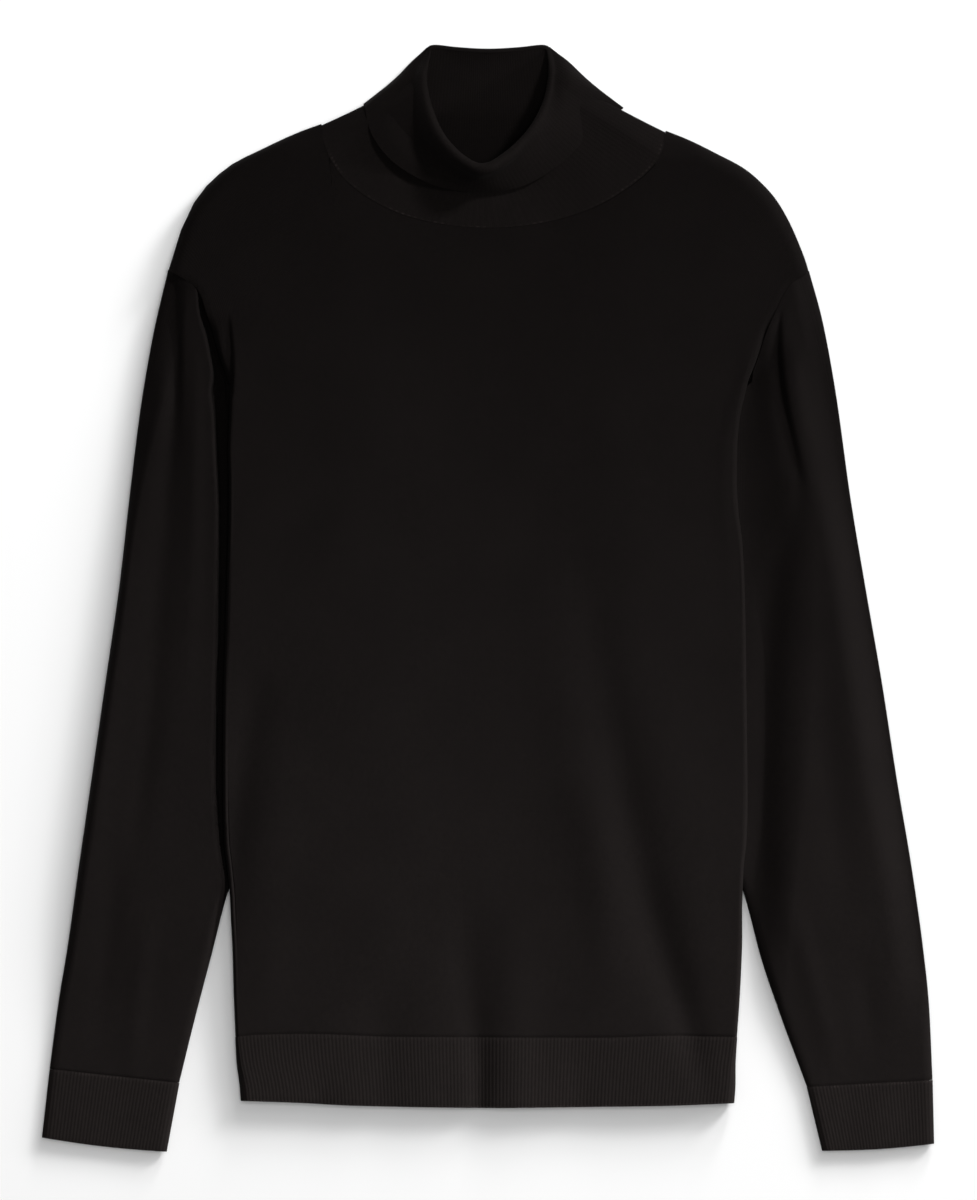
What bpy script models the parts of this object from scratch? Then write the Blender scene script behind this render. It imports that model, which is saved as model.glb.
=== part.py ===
"""A fine-knit turtleneck sweater laid flat on its back, with its sides turned under.

Every piece is a thin wall of its own. Lengths are in millimetres until MM turns them into metres.
X runs across the body, Y up the body towards the collar, Z up from the surface.
"""
import bpy
import numpy as np

MM = 0.001
WALL = 1.8                # thickness of the knit
SEAM = 0.3                # gap left between two pieces that are sewn together

HEM_SEAM_Y = -302.0       # where the hem band is linked to the panels
HEM_BOTTOM_Y = -347.0
TUCK = 73.0               # width of each side turned under the body
TUCK_TOP_Y = 90.0         # underarm, where the tuck has its whole width
UNDERARM_X = 98.6         # where the back ends at the underarm
FOLD_TOP_Y = 148.0        # where the armhole seam goes round the body's side fold
SLEEVE_HEIGHT_HIDDEN = 5.2
NECK_HALF_WIDTH = 119.0
NECK_CENTRE_Y = 323.0
NECK_DROP_FRONT = 67.0
NECK_DROP_BACK = 4.0
SHOULDER_SEAM_Z = 7.0
SHOULDER_ROUND = 9.0      # how far in from the shoulder edge the cloth starts to turn down
NECK_ROUND = 24.0         # how much further in from the neck point it does so
CHEST_Z = 14.3            # top of the cloth along the middle of the body
SIDE_Z = 17.4             # top of the cloth along the side folds
HEM_Z = 11.6              # top of the cloth at the hem
COLLAR_RISE = 44.0        # height of the collar's front rim over its back rim
STAND_BACK_Z = 3.5
FOLD_DEPTH = 2.4          # the deepest soft fold, which the layer beneath stays clear of
EDGE_ROUND = 6.0          # how far in from a sleeve's edge its cloth turns down
SHARE_LEVEL = 0.62        # share of the body's half width by which its top has risen to the side's height
OUTER_SHARE = 0.9         # from this share of the shoulder's width on, the rows come back to the armhole
BOX_MIDDLE = (-0.35, 0.6, 0.0)

# The body's side edge, from the hem seam to the shoulder: half width at each height up the body.
BODY_EDGE = {
    "y": (-347.0, -302.0, -242.0, -198.0, -100.0, 0.0, 82.0, 124.0, 148.0, 165.0, 182.0, 199.5, 216.0,
          226.0),
    "half": (169.0, 171.5, 175.0, 177.0, 178.5, 178.5, 178.0, 178.0, 180.0, 185.5, 191.0, 199.0, 208.0,
             221.0),
}
# The shoulder's edge, from the neck point to the sleeve.
SHOULDER_EDGE = {
    "x": (119.0, 134.0, 157.0, 176.5, 194.0, 206.5, 216.5, 221.0),
    "y": (324.5, 319.0, 307.0, 296.5, 280.5, 263.0, 242.0, 229.0),
}
# The sleeves, from the cuff seam up to the armhole: the outer and the inner edge of the flat tube.
LEFT_SLEEVE = {
    "along": (0.0, 0.10, 0.20, 0.32, 0.44, 0.56, 0.68, 0.78, 0.87, 0.94, 1.0),
    "outer_x": (-301.9, -297.0, -290.1, -283.0, -274.0, -264.5, -254.5, -247.0, -239.0, -230.0, -221.8),
    "outer_y": (-324.2, -281.0, -238.0, -186.0, -124.0, -58.0, 9.0, 75.0, 135.0, 185.0, 225.5),
    "inner_x": (-214.2, -204.5, -193.0, -179.0, -157.0, -136.0, -119.0, -109.0, -103.0, -100.5, -99.5),
    "inner_y": (-333.8, -291.0, -247.0, -197.0, -152.0, -100.0, -48.0, -2.0, 38.0, 68.0, 89.0),
}
RIGHT_SLEEVE = {
    "along": LEFT_SLEEVE["along"],
    "outer_x": (306.0, 303.0, 298.8, 291.0, 281.0, 270.5, 258.5, 248.0, 238.4, 229.9, 221.8),
    "outer_y": (-331.7, -281.0, -240.0, -186.0, -124.0, -58.0, 9.0, 70.0, 143.7, 193.0, 225.5),
    "inner_x": (221.8, 203.5, 190.5, 175.5, 155.0, 136.0, 119.0, 109.0, 103.0, 100.5, 99.5),
    "inner_y": (-336.6, -287.0, -250.0, -199.0, -152.0, -100.0, -48.0, -2.0, 38.0, 68.0, 89.0),
}
CUFFS = {
    "side": (-1, 1),
    "outer_end_x": (-306.7, 305.3),
    "outer_end_y": (-369.7, -375.9),
    "inner_end_x": (-223.2, 232.2),
    "inner_end_y": (-381.4, -380.7),
}
# How far the sleeve takes to rise beside the body's side fold, and its crown's height.
LEFT_RISE = 14.0
RIGHT_RISE = 46.0
SLEEVE_CROWN = 14.5

# The largest soft folds of the front: a line of points, its depth (a ridge is above 0) and half width.
FRONT_FOLDS = (
    {"line": ((78.0, 10.0), (95.0, -90.0), (113.0, -180.0), (128.0, -240.0), (146.0, -300.0)),
     "depth": -FOLD_DEPTH, "half": 15.0},
    {"line": ((58.0, -60.0), (80.0, -150.0), (88.0, -220.0)), "depth": 1.5, "half": 16.0},
    {"line": ((-132.0, -60.0), (-150.0, -70.0), (-160.0, -140.0), (-170.0, -200.0), (-176.0, -245.0)),
     "depth": -1.8, "half": 13.0},
    {"line": ((-8.0, -225.0), (-4.0, -290.0), (-2.0, -347.0)), "depth": -2.2, "half": 13.0},
    {"line": ((22.0, -235.0), (25.0, -300.0), (26.0, -347.0)), "depth": 1.5, "half": 14.0},
)
# Soft creases down the visible part of the sleeves.
LEFT_CREASES = (
    {"line": ((-216.0, 218.0), (-213.0, 137.0), (-217.0, 41.0), (-225.0, -70.0), (-234.0, -138.0)),
     "depth": -3.6, "half": 8.0},
)
RIGHT_CREASES = (
    {"line": ((203.0, 200.0), (204.0, 165.0), (208.0, 130.0), (217.0, 89.0), (205.0, 0.0), (196.0, -190.0)),
     "depth": -3.4, "half": 9.0},
)

BLACK_KNIT = (0.0075, 0.0068, 0.0066)
BLACK_RIB = (0.0095, 0.0088, 0.0084)


def clear_scene():
    """Starts from an empty file."""
    for old in list(bpy.data.objects):
        bpy.data.objects.remove(old, do_unlink=True)


def material(name, colour):
    """A matt knit material."""
    made = bpy.data.materials.new(name)
    made.use_nodes = True
    shader = made.node_tree.nodes["Principled BSDF"]
    shader.inputs["Base Color"].default_value = (*colour, 1.0)
    shader.inputs["Roughness"].default_value = 0.85
    shader.inputs["Metallic"].default_value = 0.0
    return made


def smooth(value, low, high):
    """0 below low, 1 above high and an even curve between them."""
    part = np.clip((value - low) / (high - low), 0.0, 1.0)
    return part * part * (3.0 - 2.0 * part)


def distance_to_line(x, y, line):
    """How far each point is from a line of points, seen from above."""
    nearest = np.full(np.broadcast(x, y).shape, np.inf)
    for start, end in zip(line[:-1], line[1:]):
        run = end - start
        along = ((x - start[0]) * run[0] + (y - start[1]) * run[1]) / (run @ run)
        along = np.clip(along, 0.0, 1.0)
        away = np.hypot(x - start[0] - along * run[0], y - start[1] - along * run[1])
        nearest = np.minimum(nearest, away)
    return nearest


def relief(x, y, folds):
    """Height that the soft folds add at each point: the nearest place on each fold's line sets it."""
    total = np.zeros(np.broadcast(x, y).shape)
    for fold in folds:
        away = distance_to_line(x, y, np.array(fold["line"]))
        total = total + fold["depth"] * np.exp(-((away / fold["half"]) ** 2))
    return total


def solid(name, outer, inner, colour, present=None, closed=False):
    """Makes one closed wall between two grids of points; present says which cells there are."""
    rows, columns = outer.shape[:2]
    wraps = columns if closed else columns - 1
    if present is None:
        present = np.ones((rows - 1, wraps), bool)
    count = rows * columns
    points = (np.concatenate([outer.reshape(-1, 3), inner.reshape(-1, 3)]) - BOX_MIDDLE) * MM
    faces = []
    edges = {}
    for row in range(rows - 1):
        for column in range(wraps):
            if not present[row, column]:
                continue
            after = (column + 1) % columns
            loop = [row * columns + column, row * columns + after,
                    (row + 1) * columns + after, (row + 1) * columns + column]
            one_way = np.linalg.norm(points[loop[0]] - points[loop[2]])
            other_way = np.linalg.norm(points[loop[1]] - points[loop[3]])
            turned = loop if one_way < other_way else loop[1:] + loop[:1]
            for half in (turned[:3], turned[2:] + turned[:1]):
                faces.append(half)
                faces.append([corner + count for corner in reversed(half)])
            for first, second in zip(loop, loop[1:] + loop[:1]):
                edges[(first, second)] = edges.get((first, second), 0) + 1
    for first, second in edges:
        if (second, first) not in edges:
            faces.append([second, first, first + count, second + count])
    used = sorted({corner for face in faces for corner in face})
    place = {corner: index for index, corner in enumerate(used)}
    mesh = bpy.data.meshes.new(name)
    mesh.from_pydata(points[used].tolist(), [], [[place[c] for c in face] for face in faces])
    mesh.validate()
    made = bpy.data.objects.new(name, mesh)
    bpy.context.scene.collection.objects.link(made)
    mesh.materials.append(material(name + "_knit", colour))
    mesh.shade_smooth()
    mesh.set_sharp_from_angle(angle=0.9)
    return made


def wall(name, middle, thickness, colour, present=None, closed=False, shoulder=(0.0, np.inf)):
    """Makes a wall of even thickness round a grid of points, never below the surface.

    Beside the shoulder seam it also stays between the two heights that shoulder gives.
    """
    if closed:
        across = np.roll(middle, -1, axis=1) - np.roll(middle, 1, axis=1)
    else:
        across = np.gradient(middle, axis=1)
    along = np.gradient(middle, axis=0)
    normal = np.cross(across, along)
    normal /= np.linalg.norm(normal, axis=2, keepdims=True)
    outer = middle + normal * thickness / 2
    inner = middle - normal * thickness / 2
    for side in (outer, inner):
        side[..., 2] = np.maximum(side[..., 2], 0.0)
        beside_seam = side[..., 1] > BODY_EDGE["y"][-1] + 2.0
        side[..., 2] = np.where(beside_seam, np.clip(side[..., 2], *shoulder), side[..., 2])
    return solid(name, outer, inner, colour, present, closed)


def edge_half(y):
    """Half width of the body at a height up it."""
    return np.interp(y, BODY_EDGE["y"], BODY_EDGE["half"])


def under_z(y):
    """Height of the underside of the side fold: on the surface at the hem, over the sleeves above it."""
    return (SLEEVE_HEIGHT_HIDDEN + 0.4) * smooth(y, -262.0, -205.0)


def side_z(y):
    """Height of the cloth's top at the side folds."""
    return HEM_Z + (SIDE_Z - HEM_Z) * smooth(y, -340.0, -190.0)


def front_top(x, y):
    """Height of the front's outer face, without the rounding at its edges."""
    half = edge_half(np.minimum(y, FOLD_TOP_Y))
    across = smooth(np.abs(x) / half, 0.0, SHARE_LEVEL)
    middle = CHEST_Z + (HEM_Z - 0.8 - CHEST_Z) * (1.0 - smooth(y, -340.0, -220.0))
    return middle + (side_z(y) - middle) * across + relief(x, y, FRONT_FOLDS)


def neckline_y(x, drop):
    """The neck seam: half an ellipse between the neck points."""
    part = np.clip(np.abs(x) / NECK_HALF_WIDTH, 0.0, 1.0)
    return NECK_CENTRE_Y - drop * np.sqrt(1.0 - part ** 2)


def top_edge_y(x, drop):
    """The upper edge of a panel: the neck seam in the middle and a shoulder at each side."""
    shoulder = np.interp(np.abs(x), SHOULDER_EDGE["x"], SHOULDER_EDGE["y"])
    return np.where(np.abs(x) < NECK_HALF_WIDTH, neckline_y(x, drop), shoulder)


def panel_rows(top_insets):
    """Stations up the body's side edge: height, half width and length along the edge."""
    edge = np.array([BODY_EDGE["half"], BODY_EDGE["y"]]).T[1:]
    length = np.concatenate([[0.0], np.cumsum(np.linalg.norm(np.diff(edge, axis=0), axis=1))])
    stations = [0.0, 30.0, 80.0, 125.0, 155.0, 250.0, 345.0, 391.5, 408.0]
    middles = (length[7:-1] + length[8:]) / 2
    below_insets = length[-1] - top_insets[0] - 2.0
    stations += [place for place in (*length[1:-1], *middles) if place < below_insets]
    stations += [length[-1] - inset for inset in top_insets]
    return np.array([[np.interp(s, length, edge[:, 1]), np.interp(s, length, edge[:, 0]), s]
                     for s in sorted(stations)])


def lift(rows, start_y):
    """How far each row has turned from a level line to the panel's upper edge."""
    start = np.interp(start_y, rows[:, 0], rows[:, 2])
    return np.clip((rows[:, 2] - start) / (rows[-1, 2] - start), 0.0, 1.0) ** 1.6


TOP_INSETS = (16.4, 11.0, 6.5, 3.2, 1.1, 0.0)
FACE_PARTS = (0.0, 0.1, 0.2, 0.3, 0.39, 0.455, 0.5, 0.527, 0.5385, 0.56, 0.62, 0.71, 0.80, 0.87, 0.93,
              0.97)
ARC_PARTS = (0.0, 0.25, 0.5, 0.75, 1.0)
STRIP_PARTS = (0.08, 0.5, 1.0)
FLOOR_PARTS = (0.0, 0.25, 0.45, 0.54, 0.6, 0.7, 0.8, 0.9, 1.0)


def fold_end_angle(y):
    """Where the side fold's arc stops: right round below the armhole, and just turned at the shoulder."""
    return np.radians(-90.0 + 150.0 * smooth(y, FOLD_TOP_Y - 4.0, 204.0))


def tuck_width(y):
    """How far the turned-under side reaches in beneath the body."""
    return 12.0 + (TUCK - 12.0) * (1.0 - smooth(y, TUCK_TOP_Y, FOLD_TOP_Y - 10.0))


def mirrored(half_path):
    """A whole row of points from the right half of it, whose first point is on the middle line."""
    left = half_path[:0:-1] * (-1.0, 1.0, 1.0)
    return np.concatenate([left, half_path])


def front_half(edge_y, half, thickness):
    """Right half of the front's section: the face, the side fold's arc and the strip beneath."""
    top = side_z(edge_y)
    radius = (top - under_z(edge_y)) / 2
    turn = radius - thickness / 2
    end_angle = fold_end_angle(edge_y)
    centre_x = half - radius * max(np.cos(end_angle), 0.0) if end_angle > 0 else half - radius
    path = [(part * centre_x, edge_y, top) for part in FACE_PARTS]
    for part in ARC_PARTS:
        angle = np.pi / 2 + part * (end_angle - np.pi / 2)
        path.append((centre_x + turn * np.cos(angle), edge_y, top - radius + turn * np.sin(angle)))
    for part in STRIP_PARTS:
        reach = part * (tuck_width(edge_y) - radius)
        path.append((centre_x - reach, edge_y, under_z(edge_y) + thickness / 2))
    return np.array(path)


def back_half(edge_y, half, thickness):
    """Right half of the back's section: the floor part, the part over the tuck, its fold and its strip."""
    main_z = side_z(edge_y) - 1.5 * thickness - SEAM - FOLD_DEPTH
    strip_z = under_z(edge_y) + 1.5 * thickness + SEAM
    turn = (main_z - strip_z) / 2
    fold_x = half - (side_z(edge_y) - under_z(edge_y)) / 2
    sleeve_x = np.interp(edge_y, LEFT_SLEEVE["inner_y"][3:], np.abs(LEFT_SLEEVE["inner_x"][3:]))
    floor_x = min(sleeve_x - 0.5, half - TUCK - 4.0)
    raised = 1.0
    if edge_y > TUCK_TOP_Y:
        way = (edge_y - TUCK_TOP_Y) / (BODY_EDGE["y"][-1] - TUCK_TOP_Y)
        floor_x = UNDERARM_X + way * (BODY_EDGE["half"][-1] - 0.8 - UNDERARM_X)
        raised = 1.0 - smooth(edge_y, TUCK_TOP_Y, TUCK_TOP_Y + 35.0)
    path = []
    for part in FLOOR_PARTS:
        rise = smooth(part, 0.6, 1.0) * raised * (main_z - 1.0 - thickness / 2)
        path.append((part * floor_x, edge_y, thickness / 2 + rise))
    path.append((half - TUCK + 16.0, edge_y, main_z))
    path.append((half - 24.0, edge_y, main_z))
    for angle in np.radians((90.0, 35.0, -35.0, -90.0)):
        path.append((fold_x + turn * np.cos(angle), edge_y, (main_z + strip_z) / 2 + turn * np.sin(angle)))
    path.append((half - TUCK / 2, edge_y, strip_z))
    path.append((half - TUCK, edge_y, strip_z))
    return np.array(path)


def shoulder_turn(x, y, full, seam_z):
    """Height of cloth that turns down from its full height to the shoulder seam, slowly at the neck."""
    edge = np.array([SHOULDER_EDGE["x"], SHOULDER_EDGE["y"]]).T
    away = distance_to_line(np.abs(x), y, edge)
    from_neck = np.hypot(np.abs(x) - edge[0, 0], y - edge[0, 1])
    reach = SHOULDER_ROUND + NECK_ROUND * (1.0 - smooth(from_neck, 0.0, NECK_ROUND + SHOULDER_ROUND))
    near = np.clip(1.0 - away / reach, 0.0, 1.0)
    return seam_z + (full - seam_z) * np.sqrt(1.0 - near ** 2)


def carry_on(grid, rows, count):
    """Lets the columns that a row leaves out carry on past its edges, so that its wall ends square."""
    for step in range(count):
        place = count - 1 - step
        grid[rows, place] = 2.0 * grid[rows, place + 1] - grid[rows, place + 2]
        grid[rows, -1 - place] = 2.0 * grid[rows, -2 - place] - grid[rows, -3 - place]


def raise_rows(grid, face, rows, lifted, drop):
    """Lifts the face's columns towards the panel's upper edge, by as much more as they are nearer to it."""
    across = np.abs(grid[-1, face, 0])
    rise = top_edge_y(across, drop) - rows[-1, 0]
    rise = rise - rise[0] * smooth(across, OUTER_SHARE * across[0], across[0])
    grid[:, face, 1] += lifted[:, None] * rise[None, :]


def front_panel():
    """The front: across the top, round each side fold and in beneath the body as far as the side seam."""
    rows = panel_rows(TOP_INSETS)
    lifted = lift(rows, 60.0)
    grid = np.array([mirrored(front_half(y, half, WALL)) for y, half, _ in rows])
    strip = len(STRIP_PARTS)
    raise_rows(grid, slice(strip, grid.shape[1] - strip), rows, lifted, NECK_DROP_FRONT)
    hidden = strip + len(ARC_PARTS)
    face = slice(hidden, grid.shape[1] - hidden)
    grid[:, face, 2] = front_top(grid[:, face, 0], grid[:, face, 1]) - WALL / 2
    upper = grid[:, strip:-strip]
    upper[..., 2] = shoulder_turn(upper[..., 0], upper[..., 1], upper[..., 2], SHOULDER_SEAM_Z + SEAM / 2)
    carry_on(grid, rows[:, 0] > FOLD_TOP_Y - 8.0, strip)
    present = np.ones((grid.shape[0] - 1, grid.shape[1] - 1), bool)
    above_tuck = rows[1:, 0] > FOLD_TOP_Y - 8.0
    present[above_tuck, :len(STRIP_PARTS)] = False
    present[above_tuck, -len(STRIP_PARTS):] = False
    above_seam = (SHOULDER_SEAM_Z + SEAM / 2, np.inf)
    return wall("front_panel", grid, WALL, BLACK_KNIT, present, shoulder=above_seam)


def back_panel():
    """The back: flat on the surface in the middle, over the sleeves, and folded under with the sides."""
    rows = panel_rows(TOP_INSETS)
    lifted = lift(rows, 120.0)
    grid = np.array([mirrored(back_half(y, half, WALL)) for y, half, _ in rows])
    hidden = grid.shape[1] // 2 + 1 - len(FLOOR_PARTS)
    face = slice(hidden, grid.shape[1] - hidden)
    raise_rows(grid, face, rows, lifted, NECK_DROP_BACK)
    upper = grid[:, face]
    upper[..., 2] = shoulder_turn(upper[..., 0], upper[..., 1], upper[..., 2], SHOULDER_SEAM_Z - SEAM / 2)
    carry_on(grid, rows[:, 0] > TUCK_TOP_Y + 1.0, hidden)
    present = np.ones((grid.shape[0] - 1, grid.shape[1] - 1), bool)
    above_underarm = rows[1:, 0] > TUCK_TOP_Y + 1.0
    present[above_underarm, :hidden] = False
    present[above_underarm, -hidden:] = False
    below_seam = (0.0, SHOULDER_SEAM_Z - SEAM / 2)
    return wall("back_panel", grid, WALL, BLACK_KNIT, present, shoulder=below_seam)


def hem_band(name, half_section):
    """A ribbed band that carries a panel's section on down to the hem."""
    heights = np.linspace(HEM_BOTTOM_Y, HEM_SEAM_Y - SEAM, 4)
    grid = np.array([mirrored(half_section(y, edge_half(y), WALL)) for y in heights])
    if half_section is front_half:
        hidden = len(ARC_PARTS) + len(STRIP_PARTS)
        face = slice(hidden, grid.shape[1] - hidden)
        grid[:, face, 2] = front_top(grid[:, face, 0], grid[:, face, 1]) - WALL / 2
    return wall(name, grid, WALL, BLACK_RIB)


# Where a sleeve's columns stand between its outer edge and the body's side fold, and from there on inwards.
SHOWN_PARTS = np.array((0.0, 0.02, 0.07, 0.14, 0.24, 0.36, 0.5, 0.64, 0.77, 0.89, 1.0))
HIDDEN_PARTS = np.array((0.35, 0.7, 0.93, 1.0))
# Where a sleeve's rings stand, as shares of the way from the cuff seam up to the armhole.
SLEEVE_STATIONS = (0.0, 0.05, 0.12, 0.2, 0.28, 0.36, 0.44, 0.52, 0.6, 0.68, 0.75, 0.81, 0.87, 0.92,
                   0.96, 1.0)
CUFF_HEIGHT = 6.0


def armhole_columns(side):
    """Where a sleeve's columns meet the armhole seam, from the shoulder's edge in to the underarm."""
    edge = np.array([BODY_EDGE["half"], BODY_EDGE["y"]]).T[:7:-1] + (0.8, -0.5)
    shown = [edge[0]]
    for first, second in zip(edge[:-1], edge[1:]):
        shown += [(first + second) / 2, second]
    underarm = np.array((LEFT_SLEEVE["inner_x"][-1] * -1.0, LEFT_SLEEVE["inner_y"][-1]))
    hidden = shown[-1] + HIDDEN_PARTS[:, None] * (underarm - shown[-1])
    return np.concatenate([np.array(shown), hidden]) * (side, 1.0)


def column_parts(edge, body):
    """Where the columns of a straight ring stand between the tube's two edges."""
    tries = np.linspace(0.0, 1.0, 201)
    line = edge + tries[:, None] * (body - edge)
    beside = np.abs(line[:, 0]) - edge_half(line[:, 1]) - 1.0
    under = np.flatnonzero((beside < 0.0) & (line[:, 1] < FOLD_TOP_Y))
    split = tries[under[0]] if len(under) else 0.88
    split = np.clip(split, 0.35, 0.88)
    return np.concatenate([SHOWN_PARTS * split, split + HIDDEN_PARTS * (1.0 - split)])


def sleeve_top_z(x, y, rise, crown, creases):
    """Height of a sleeve's upper face: low under the body, then rising beside its fold to the crown."""
    beside = np.abs(x) - edge_half(np.minimum(y, BODY_EDGE["y"][-1]))
    at_shoulder = SIDE_Z - 0.6 - SLEEVE_HEIGHT_HIDDEN
    at_body = SLEEVE_HEIGHT_HIDDEN + at_shoulder * smooth(y, FOLD_TOP_Y + 4.0, 204.0)
    highest = np.maximum(crown, at_body)
    free = at_body + (highest - at_body) * smooth(beside, 1.5, 1.5 + rise)
    free = free + relief(x, y, creases) * smooth(beside, 2.0, 12.0)
    return np.maximum(free, SLEEVE_HEIGHT_HIDDEN)


# How much of a column's shift its neighbours share when it is moved to the body's fold.
SHIFT_SHARES = np.array((0.0, 0.0, 0.0, 0.05, 0.15, 0.3, 0.5, 0.7, 0.85, 0.95, 1.0, 0.65, 0.3, 0.07, 0.0))


def meet_fold(upper, side):
    """Moves the column where the shown part ends to just outside the body's side fold."""
    split = len(SHOWN_PARTS) - 1
    x, y = upper[split]
    wanted = side * (edge_half(y) + 0.9)
    shifted = upper.copy()
    shifted[:, 0] += SHIFT_SHARES * (wanted - x)
    return shifted


def sleeve(name, side, table, rise, creases):
    """A flat tube from the cuff seam up to the armhole, open at both ends."""
    seam = armhole_columns(side)
    outer = []
    inner = []
    for station in SLEEVE_STATIONS:
        edge = np.array([np.interp(station, table["along"], table["outer_x"]),
                         np.interp(station, table["along"], table["outer_y"])])
        body = np.array([np.interp(station, table["along"], table["inner_x"]),
                         np.interp(station, table["along"], table["inner_y"])])
        across = column_parts(edge, body)
        straight = edge + across[:, None] * (body - edge)
        bend = smooth(station, 0.70, 1.0)
        upper = straight + bend * (seam - (seam[0] + across[:, None] * (seam[-1] - seam[0])))
        upper = meet_fold(upper, side) if station > 0.42 else upper
        crown = CUFF_HEIGHT + (SLEEVE_CROWN - CUFF_HEIGHT) * smooth(station, 0.0, 0.35)
        crown += (SIDE_Z - 1.0 - SLEEVE_CROWN) * smooth(station, 0.75, 1.0)
        width = np.linalg.norm(body - edge)
        outer.append(sleeve_ring(upper, straight, across, width, rise, crown, creases, 0.0))
        inner.append(sleeve_ring(upper, straight, across, width, rise, crown, creases, WALL))
    turn = slice(None, None, -1) if side > 0 else slice(None)
    outer = np.array(outer)[:, turn]
    inner = np.array(inner)[:, turn]
    return solid(name, outer, inner, BLACK_KNIT, closed=True)


def sleeve_ring(upper, straight, across, width, rise, crown, creases, inset):
    """One closed ring of a sleeve: its upper face, then its lower face back to the start."""
    part = np.minimum(across, 1.0 - across)
    height = sleeve_top_z(upper[:, 0], upper[:, 1], rise, crown, creases)
    rounding = EDGE_ROUND
    if inset:
        shrink = 1.0 - 2.2 * inset / width
        upper = along_middle(upper) + (upper - along_middle(upper)) * shrink
        straight = along_middle(straight) + (straight - along_middle(straight)) * shrink
        width = width * shrink
        rounding = EDGE_ROUND - inset
    near = np.clip(1.0 - part * width / rounding, 0.0, 1.0)
    half_height = (height / 2 - inset) * np.sqrt(1.0 - near ** 2)
    above = np.column_stack([upper, height / 2 + half_height])
    below = np.column_stack([straight, height / 2 - half_height])
    return np.concatenate([above, below[-2:0:-1]])


def along_middle(line):
    """The middle of a line's two ends."""
    return (line[0] + line[-1]) / 2


def cuff(name, index, table):
    """A ribbed band that carries the sleeve's flat tube on down to the wrist."""
    across = (1.0 - np.cos(np.linspace(0.0, np.pi, 13))) / 2
    start_edge = np.array([table["outer_x"][0], table["outer_y"][0]])
    start_body = np.array([table["inner_x"][0], table["inner_y"][0]])
    end_edge = np.array([CUFFS["outer_end_x"][index], CUFFS["outer_end_y"][index]])
    end_body = np.array([CUFFS["inner_end_x"][index], CUFFS["inner_end_y"][index]])
    down = (end_edge - start_edge) / np.linalg.norm(end_edge - start_edge)
    outer = []
    inner = []
    for part in (0.0, 0.5, 1.0):
        gap = down * SEAM * (1.0 - part)
        edge = start_edge + gap + part * (end_edge - start_edge)
        body = start_body + gap + part * (end_body - start_body)
        line = edge + across[:, None] * (body - edge)
        width = np.linalg.norm(body - edge)
        outer.append(sleeve_ring(line, line, across, width, 1.0, CUFF_HEIGHT, (), 0.0))
        inner.append(sleeve_ring(line, line, across, width, 1.0, CUFF_HEIGHT, (), WALL))
    turn = slice(None, None, -1) if CUFFS["side"][index] < 0 else slice(None)
    return solid(name, np.array(outer)[:, turn], np.array(inner)[:, turn], BLACK_RIB, closed=True)


RIM_HALF_WIDTH = 43.0
RIM_CENTRE_Y = 367.0
RIM_FRONT = 70.0
RIM_BACK = 13.5
COLLAR_AROUND = 48
STAND_PARTS = np.array((0.0, 0.12, 0.3, 0.48, 0.64, 0.78, 0.9, 1.0))
ROLL_ANGLES = np.radians((40.0, 90.0, 140.0))
FLAP_PARTS = np.array((0.0, 0.12, 0.3, 0.5, 0.75, 1.0))


def signed_power(value, power):
    """A power that keeps the sign."""
    return np.sign(value) * np.abs(value) ** power


def collar_seam(angle):
    """The collar's lower edge at the neck seam; angle 0 is the centre front."""
    across = np.sin(angle)
    front = np.cos(angle) > 0
    drop = np.where(front, NECK_DROP_FRONT, NECK_DROP_BACK)
    x = (NECK_HALF_WIDTH - 1.4) * across
    y = NECK_CENTRE_Y - drop * np.abs(np.cos(angle)) + np.where(front, 0.4, 1.0)
    front_z = front_top(x, y) - WALL / 2
    level = np.where(front, front_z, WALL / 2)
    return np.stack([x, y, shoulder_turn(x, y, level, SHOULDER_SEAM_Z)], axis=-1)


def collar_rim(angle):
    """The fold line round the collar's mouth."""
    across = np.sin(angle)
    along = np.cos(angle)
    front = along > 0
    x = RIM_HALF_WIDTH * np.where(front, signed_power(across, 1.25), signed_power(across, 0.5))
    x = x - 5.0 * np.maximum(along, 0.0) ** 4
    y = RIM_CENTRE_Y - np.where(front, RIM_FRONT * np.abs(along) ** 1.25, -RIM_BACK * np.abs(along) ** 0.5)
    z = STAND_BACK_Z + COLLAR_RISE * (RIM_CENTRE_Y + RIM_BACK - y) / (RIM_FRONT + RIM_BACK)
    return np.stack([x, y, z], axis=-1)


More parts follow.
